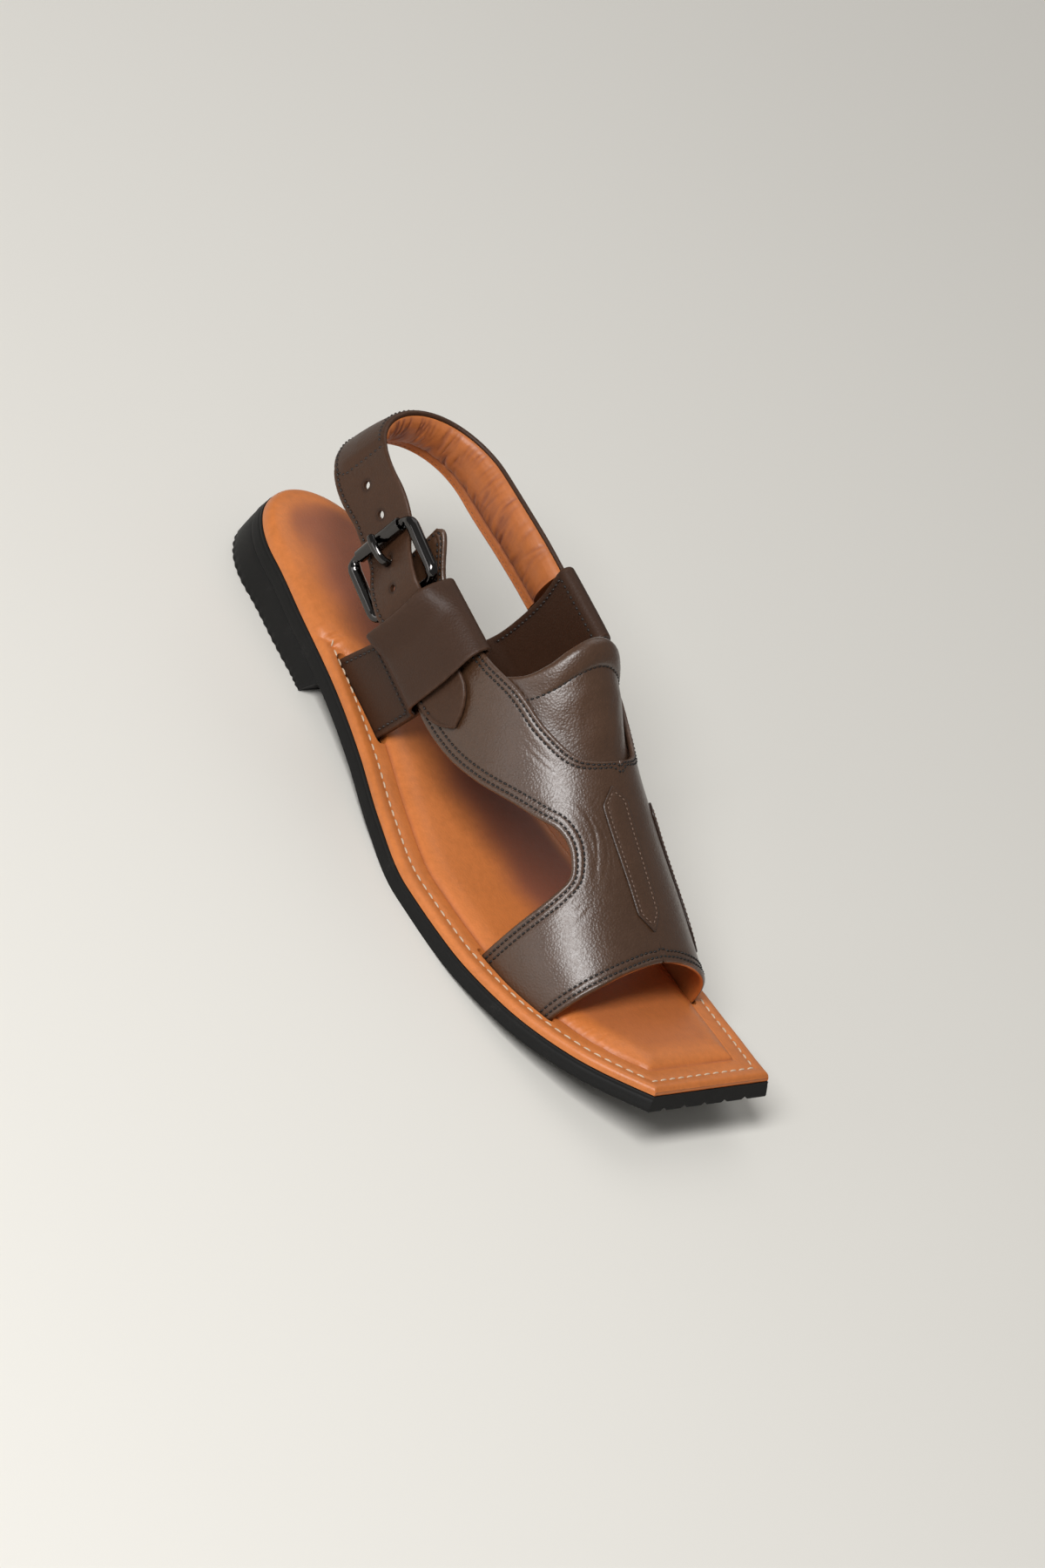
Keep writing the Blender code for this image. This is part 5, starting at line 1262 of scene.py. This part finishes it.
near, tube_far, half = BUCKLE_BAR + GAP, BUCKLE_BAR + GAP + ROLLER_WALL, ROLLER_HALF_LONG
mouth = np.array([
    (near, 0.1), (near + 0.15, 0), (tube_far - 0.25, 0), (tube_far - 0.07, 0.07), (tube_far, 0.25)])
profile = np.concatenate([mouth - (0, half), [(tube_far, 0)], mouth[::-1] * (1, -1) + (0, half),
                          [(near, 0), (near, 0.1 - half)]])
angle = np.linspace(0, 2 * math.pi, 65)[:, None]
reach = profile[None, :, 0] - 0.22 * hump(angle, 4.2, 0.05) * (profile[None, :, 0] > near + 0.1)
points = (roller + b_forward * (reach * np.cos(angle))[..., None] + b_out * (reach * np.sin(angle))[..., None]
          + b_up * np.broadcast_to(profile[None, :, 1], reach.shape)[..., None])
add_piece("buckle_tube", [points], [GUNMETAL], None, ["buckle_roller"])

# Back from the pivot, out from the bars' plane, and half thickness of the prong
PRONG = np.array([
    (3.4, -2.4, 0.80), (6.5, -2.1, 0.85), (9.5, -1.7, 0.90), (11.6, -1.35, 0.95), (13.0, -0.7, 1.0),
    (13.9, 0.3, 1.1), (14.5, 1.5, 1.2), (15.4, 2.8, 1.3), (17.0, 3.8, 1.35), (19.2, 4.3, 1.4)])
PRONG_ROUND = 1.2
hook = BUCKLE_BAR + GAP + PRONG_WIRE
rest = BUCKLE_BAR + 2 * GAP + ROLLER_WALL + PRONG_TIP_WIRE
angle = np.radians(np.linspace(100, -90, 12))
bends = np.concatenate([
    np.stack([-hook * np.cos(angle), hook * np.sin(angle), np.full(12, PRONG_WIRE)], axis=1), PRONG,
    [(buckle_long, rest, PRONG_TIP_WIRE), (buckle_long + 2.2, rest - 0.4, PRONG_TIP_WIRE)]])
walked = np.concatenate([[0], np.cumsum(np.hypot(np.diff(bends[:, 0]), np.diff(bends[:, 1])))])
fine = np.concatenate([np.linspace(0, walked[-1] - PRONG_ROUND, 110),
                       walked[-1] - PRONG_ROUND * np.cos(np.linspace(0.1, math.pi / 2, 9))])
back, out, thick = (flow(fine, walked, bends[:, k]) for k in range(3))
tip = np.sqrt(np.clip(1 - (1 - np.clip((walked[-1] - fine) / PRONG_ROUND, 0, 1)) ** 2, 0.0004, 1))
path = pivot - b_forward * back[:, None] + b_out * out[:, None]
wide = (1.0 + 0.70 * ease(back, 6.0, 12.0)) * tip
points = tube(path, wide, b_up, 20, (0.92 * thick * tip / wide)[:, None, None])
add_piece("buckle_tongue", [points], [GUNMETAL], None, ["buckle_prong"], caps=end_caps(points))

# %% [markdown]
# A short leather tab folds round the buckle's bar, and the loop holds its two ends. Its path is drawn in
# station and distance from the last: along the wing, round the bar, and back. A slot lets the prong through
# at the bar.

# %% Buckle tab
TAB_WALL, TAB_HALF_WIDE, TAB_FRONT, PRONG_SLOT = 1.0, 7.6, 107.0, 5.0
ring_out = BUCKLE_BAR + 2 * GAP + TAB_WALL / 2
low = VAMP_WALL + GAP + TAB_WALL / 2
high = low + TAB_WALL + GAP
bar_station, bar_height, bar_offset = PIVOT_BAR
angle = np.radians(np.linspace(-80, -280, 25))
path = np.concatenate([
    np.stack([np.linspace(TAB_FRONT, bar_station + ring_out + 1.0, 12), np.full(12, low)], axis=1),
    np.stack([bar_station + ring_out * np.cos(angle), bar_offset + ring_out * np.sin(angle)], axis=1),
    [(bar_station + 3.3, high + 1.8), (bar_station + 5.3, high + 0.6), (bar_station + 7.5, high + 0.05)],
    np.stack([np.linspace(bar_station + 10.0, TAB_FRONT, 10), np.full(10, high)], axis=1)])
slope = (PIVOT_BAR[1] - ROLLER_BAR[1]) / (PIVOT_BAR[0] - ROLLER_BAR[0])
share = columns_for(np.full(len(path), 2 * TAB_HALF_WIDE), np.array([0, 0.04, 0.15, 0.32, 0.5, 0.9, 1.6]), 12)
across = (2 * share - 1) * TAB_HALF_WIDE
centre = bar_height + slope * (path[:, :1] - bar_station)
middle = beside(path[:, :1] - slope * across, centre + across, -1, path[:, 1:] + 0 * across)
far = TAB_HALF_WIDE - np.abs(across)
far[[0, -1]] = 0
outer, inner = skin(middle, grid_normal(middle), TAB_WALL / 2, far)
tab = add_piece("tab_leather", [outer, inner], [MATT_BROWN], {"rubbed": [np.exp(-far / 0.5)] * 2},
                ["buckle_tab"], sharp=LEATHER_SHARP)
box = np.array([(-1, -1), (1, -1), (1, 1), (-1, 1)]) * (3 * ring_out, PRONG_SLOT / 2)
box = pivot + b_forward * box[:, :1] + b_up * box[:, 1:]
carve(tab, [box + b_out * np.array([-3 * ring_out, 3 * ring_out])[:, None, None]])

# %% [markdown]
# ## Slits
# The straps go down through slits in the footbed. Each cutter is a thin closed band that follows the
# strap's foot and narrows at both ends, so that the slit ends round.

# %% Slits in the footbed
SLIT_CLEAR = 0.45


def slit(sign, first, last, near, far):
    """Cutter along the last's foot between two stations, from near to far off the last's wall."""
    share = np.array([0, 0.01, 0.03, 0.06, *np.linspace(0.1, 0.9, 12), 0.94, 0.97, 0.99, 1.0])
    ends = np.sqrt(1 - (1 - np.minimum(np.minimum(share, 1 - share) / 0.06, 1)) ** 2) * 0.85 + 0.15
    station = first + (last - first) * share
    wall = wall_side(station, 0.0, sign) + (near + far) / 2
    side = sign * (wall[:, None] + (far - near) / 2 * ends[:, None] * np.array([-1, 1, 1, -1]))
    return place(station[:, None], side, np.array([-1.5, -1.5, 12.0, 12.0]))


slits = []
for sign in (-1, 1):
    slits.append(slit(sign, VAMP[0, 0] - 2.2, VAMP[0, 2] + 2.6, -SLIT_CLEAR, VAMP_WALL + SLIT_CLEAR))
    shift, column = LOOP_SHIFT[sign], 1 if sign < 0 else 2
    slits.append(slit(sign, LOOP_EDGES[0, 1] + shift - 1.4, LOOP_EDGES[0, 2] + shift + 3.2,
                      LOOP[0, column] - LOOP_WALL, LOOP[-1, column] + LOOP_WALL))
carve(insole, slits, "MANIFOLD")

# %% [markdown]
# ## Stitches
# Waxed thread shows as a row of short dashes that dive into the leather at both ends. Hundreds of separate
# objects would be slow, so each seam's dashes are one mesh: a small spindle of thirty points is copied
# along the seam with whole-array sums, turned to the seam's direction and to the leather's outward
# direction.


# %% Stitch maker
# Rings of a stitch: place along its half length, then size and height as shares of its thickness
SPINDLE = np.array([
    (-1.0, 0.35, -0.75), (-0.65, 0.85, -0.1), (0.0, 1.0, 0.15), (0.65, 0.85, -0.1), (1.0, 0.35, -0.75)])
SPINDLE_SIDES = 6


def read_path(spots, walked, values):
    """Values of a path, points or directions, at distances walked along it."""
    return np.stack([np.interp(spots, walked, values[:, k]) for k in range(3)], axis=1)


def stitches(name, paths, finish, pitch, length, thick):
    """One mesh of dashes along paths of points and outward directions; pitch apart, length long."""
    along, size, sink = (SPINDLE[:, [k]] for k in range(3))
    rings, sides = len(SPINDLE), SPINDLE_SIDES
    angle = np.linspace(0, 2 * math.pi, sides + 1)[:-1]
    forward = (along * length / 2)[None, ..., None]
    outwards = ((size * np.sin(angle) + sink) * thick)[None, ..., None]
    sideways = (size * np.cos(angle) * thick)[None, ..., None]
    blocks = []
    for points, outward in paths:
        walked = walked_along(points)
        count = max(1, int(walked[-1] / pitch))
        spots = (np.arange(count) + 0.5) * walked[-1] / count
        centre, out = read_path(spots, walked, points), read_path(spots, walked, outward)
        ahead = unit(read_path(spots + 0.3, walked, points) - read_path(spots - 0.3, walked, points))
        out = unit(out - ahead * (ahead * out).sum(1, keepdims=True))
        cross = np.cross(ahead, out)
        ahead, out, cross = (way[:, None, None] for way in (ahead, out, cross))
        blocks.append(centre[:, None, None] + (ahead * forward + out * outwards + cross * sideways))
    points = np.concatenate(blocks).reshape(-1, 3)
    count = len(points) // (rings * sides)
    first = np.arange(count)[:, None] * rings * sides
    k = np.arange(sides)
    band = np.stack([k, (k + 1) % sides, (k + 1) % sides + sides, k + sides], -1)
    bands = np.concatenate([band + sides * j for j in range(rings - 1)])
    quads = (first[:, :, None] + bands[None]).reshape(-1, 4)
    ends = np.concatenate([first + k[::-1], first + (rings - 1) * sides + k])
    mesh = new_mesh(name, points, quads.tolist() + ends.tolist())
    turn_outwards(mesh)
    mesh.shade_smooth()
    made = add_object(name, mesh)
    mesh.materials.append(finish)
    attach(made, "root")
    print(name, "stitches:", count)


# %% [markdown]
# The vamp is sewn with two rows along every edge. A seam is the line of points at one distance from an
# edge, which the strip's own coordinates give: a share of its width from the cut-out, or from the toe and
# throat edges. Those two cross the ridge, so the halves of the seam meet there.

# %% Vamp stitches
FIRST_STITCH = 0.05


def vamp_seam(sign, row, share):
    """Points on the vamp's outside and their outward directions."""
    station, turn = vamp_spot(row, share, sign)
    return shell(station, sign * turn, np.full(len(row), VAMP_WALL - 0.02)), last_normal(station, sign * turn)


paths = []
for sign, (last_row, end_step) in HALVES.items():
    for seam in SEAMS:
        sewn_end = last_row - seam / end_step
        row = np.linspace(FIRST_STITCH, sewn_end, 500)
        paths.append(vamp_seam(sign, row, seam / strip_width(row, sign)))
        for row in (np.linspace(FIRST_STITCH, TOE_ROW + seam / RIDGE_PER_ROW, 200),
                    np.linspace(THROAT_ROW - seam / RIDGE_PER_ROW, sewn_end, 400)):
            share = 1 - np.maximum(seam - ridge_way(row), 0) / strip_width(row, sign)
            paths.append(vamp_seam(sign, row, share))
    share = np.linspace(0.12, 0.88, 40)
    row = np.full(40, last_row - SEAMS[0] / end_step)
    paths.append(vamp_seam(sign, row, share))
stitches("vamp_stitches", paths, DARK_THREAD, pitch=2.05, length=1.55, thick=0.38)

# %% Patch and tongue stitches
paths = []
share = np.linspace(2.6, PATCH_LENGTH - 2.6, 120) / PATCH_LENGTH
tip = np.minimum(share, 1 - share) * PATCH_LENGTH
wide = np.minimum(PATCH_HALF_WIDE * np.minimum(tip / PATCH_TIP, 1), PATCH_HALF_WIDE - 0.15)
lift = np.full(len(share), VAMP_WALL + PATCH_WALL + 0.05)
for ends in PATCHES.values():
    for way in (-1, 1):
        station, turn, _ = patch_spot(ends, share, way * np.maximum(1 - PATCH_SEAM / wide, 0.0))
        paths.append((shell(station, turn, lift), last_normal(station, turn)))
stitches("patch_stitches", paths, PALE_THREAD, pitch=1.75, length=1.2, thick=0.26)

across = np.linspace(-0.86, 0.86, 160)
station, turn, offset, _ = tongue_spot(across, np.full(160, TONGUE_SEAM))
paths = [(shell(station, turn, offset + 0.05), last_normal(station, turn))]
stitches("tongue_stitches", paths, DARK_THREAD, pitch=2.1, length=1.55, thick=0.38)

# %% [markdown]
# Low on each side, a row runs up the loop's rear edge, across where the layers part, and down the front
# edge. The inner wall of each loop has a row along its own edges.

# %% Loop stitches
def loop_seam(sign, turn, share):
    """Points on the outer face of a loop's leather, and the directions away from it."""
    grid = loop_sheet(sign, turn[:, None] + np.array([-0.02, 0.0, 0.02]), share[:, None])
    ahead = loop_sheet(sign, turn[:, None], share[:, None] + np.array([-0.01, 0.0, 0.01]))
    normal = sign * unit(np.cross(ahead[:, 2] - ahead[:, 0], grid[:, 2] - grid[:, 0]))
    return grid[:, 1] + normal * (LOOP_WALL / 2 - 0.02), normal


paths = []
EDGE_SHARE = 0.075
# Rows of the seams along the edges and row of the seam across, for the outer and the inner layer
LAYER_SEAMS = ((np.linspace(17.6, CROSS_ROW, 60), CROSS_ROW), (np.linspace(2.6, 6.2, 80), 6.25))
across = np.linspace(EDGE_SHARE, 1 - EDGE_SHARE, 60)
for sign in (-1, 1):
    for rows, cross_row in LAYER_SEAMS:
        paths += [loop_seam(sign, rows, np.full(len(rows), share)) for share in (EDGE_SHARE, 1 - EDGE_SHARE)]
        paths.append(loop_seam(sign, np.full(len(across), cross_row), across))
stitches("loop_stitches", paths, UMBER_THREAD, pitch=2.3, length=1.6, thick=0.50)

# %% [markdown]
# The strap has one row along its lower edge and one along the pad's curved start. Where it is padded, a row
# also holds the lining along the upper edge, and a finer tan row holds the pad's flat margin on the inside.

# %% Strap stitches
def strap_seam(rows, across):
    """Points on the strap's outside and their outward directions."""
    offset = STRAP_WALL / 2 + strap_bulge(walk[rows], across) - 0.06
    spot = strap_middle[rows] + strap_up[rows] * (across * strap_wide[rows, 0])[:, None]
    return spot + strap_out[rows] * offset[:, None], strap_out[rows]


tip_row = np.searchsorted(walk, 9.0)
lower_rows = np.arange(tip_row, len(walk) - 8)
paths = [strap_seam(lower_rows, STRAP_SEAM / strap_wide[lower_rows, 0] - 1)]
padded_rows = np.arange(np.searchsorted(walk, pad_start(np.array(1.0)) + 2), len(walk) - 8)
paths.append(strap_seam(padded_rows, 1 - STRAP_SEAM / strap_wide[padded_rows, 0]))
across = np.linspace(-0.8, 0.9, 60)
paths.append(strap_seam(np.searchsorted(walk, pad_start(across)), across))
stitches("strap_stitches", paths, UMBER_THREAD, pitch=2.3, length=1.5, thick=0.48)
margin_row = np.arange(first + 3, last - 3)
spot = (strap_middle[margin_row] - strap_out[margin_row] * (STRAP_WALL / 2 + 0.80)
        + strap_up[margin_row] * (MARGIN_SEAM * PAD_MARGIN - (strap_wide[margin_row] - PAD_INSET)))
stitches("pad_stitches", [(spot, -strap_out[margin_row])], TAN_THREAD, pitch=1.9, length=1.3, thick=0.22)

# %% [markdown]
# The footbed's rim is sewn with thick cream thread in long dashes, from the arch forward, along both sides
# and straight across the toe.

# %% Rim stitches
SEAM_FIRST, SEAM_LAST = 70.0, SOLE_LENGTH - RIM_SEAM - INSOLE_INSET


def rim_seam(station, side):
    """Points just above the footbed's rim, and the directions up from the sole."""
    top = footbed(station, side)[0]
    return place(station, side, top + 0.12), unit(place(station, side, 5.0) - place(station, side, 0.0))


rim_travel = 1 + (np.linspace(SEAM_FIRST, SEAM_LAST, 420) - HEEL_ROUND) / (SOLE_LENGTH - HEEL_ROUND)
paths = []
corners = []
for sign in (-1, 1):
    station, side = sole_edge(rim_travel, sign, -INSOLE_INSET - RIM_SEAM)
    keep = station <= SEAM_LAST
    corners.append(side[keep][-1])
    paths.append(rim_seam(station[keep], side[keep]))
paths.append(rim_seam(np.full(120, SEAM_LAST), np.linspace(*corners, 120)))
stitches("rim_stitches", paths, CREAM_THREAD, pitch=4.1, length=3.1, thick=0.34)

# %% [markdown]
# ## Padded pieces
# The footbed is foam under leather, the strap's roll is firm, and the tongue is thin and slack.

# %% Padding
print("soft pieces: footbed, strap pad, tongue")

# %% [markdown]
# ## Floor and light
# The photo's ground is a pale warm grey with almost no shadow. Where each light stands can be read from the
# photo: the view is mirrored at a bright spot of the leather, and the mirrored line points at its light.
# The vamp's long highlight comes from a tall strip near the camera, the sheen on the wing from a softbox on
# the left, and the sheen on the heel seat from one behind.

# %% Floor
floor_mesh = bpy.data.meshes.new("floor")
floor_mesh.from_pydata([(-3, -3, 0), (3, -3, 0), (3, 3, 0), (-3, 3, 0)], [], [(0, 1, 2, 3)])
floor = add_object("floor", floor_mesh)
paper, paper_shader, paper_spot = new_finish("pale paper")
paper_tone = paper_spot.node("TexNoise", None, {"Vector": paper_spot, "Scale": 3.0, "Detail": 2.0})
paper_colour = paper_tone.tint((0.770, 0.748, 0.697), (0.782, 0.761, 0.711))
wire(paper_shader, {"Base Color": paper_colour}, {"Roughness": 0.9})
floor_mesh.materials.append(paper)
floor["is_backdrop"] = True


# %% Lights
def softbox(name, right, up, near, distance, wide, tall, watts):
    """Area light in a direction given along the picture's right, its up and towards the camera."""
    data = bpy.data.lights.new(name, "AREA")
    data.shape, data.size, data.size_y, data.energy = "RECTANGLE", wide, tall, watts
    made = add_object(name, data)
    away = unit(image_right * right + image_up * up + toward_eye * near)
    flat = unit(np.cross(UPWARDS, away))
    made.matrix_world = axes_matrix(flat, np.cross(away, flat), away, AIM + away * distance / MM)


softbox("key strip", -0.03, 0.36, 0.93, distance=2.0, wide=0.5, tall=1.1, watts=36.0)
softbox("side softbox", -0.72, 0.10, 0.70, distance=2.0, wide=0.9, tall=0.9, watts=5.0)
softbox("rear softbox", 0.42, 0.90, -0.02, distance=1.7, wide=1.2, tall=1.2, watts=4.0)
world = bpy.data.worlds.new("studio")
bpy.context.scene.world = world
world.use_nodes = True
background = world.node_tree.nodes["Background"]
background.inputs["Color"].default_value = (1.0, 0.985, 0.96, 1.0)
background.inputs["Strength"].default_value = 0.22
bpy.context.scene.view_settings.view_transform = "Standard"
print("lights: 3 softboxes")

# %% [markdown]
# ## Size
# The dressed sandal's box is printed, in metres. The dressed sandal has to stay in the CAD model's
# box.

# %% Size of the dressed sandal
low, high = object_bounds()
print("visual box in metres:", [round(b - a, 4) for a, b in zip(low, high)])
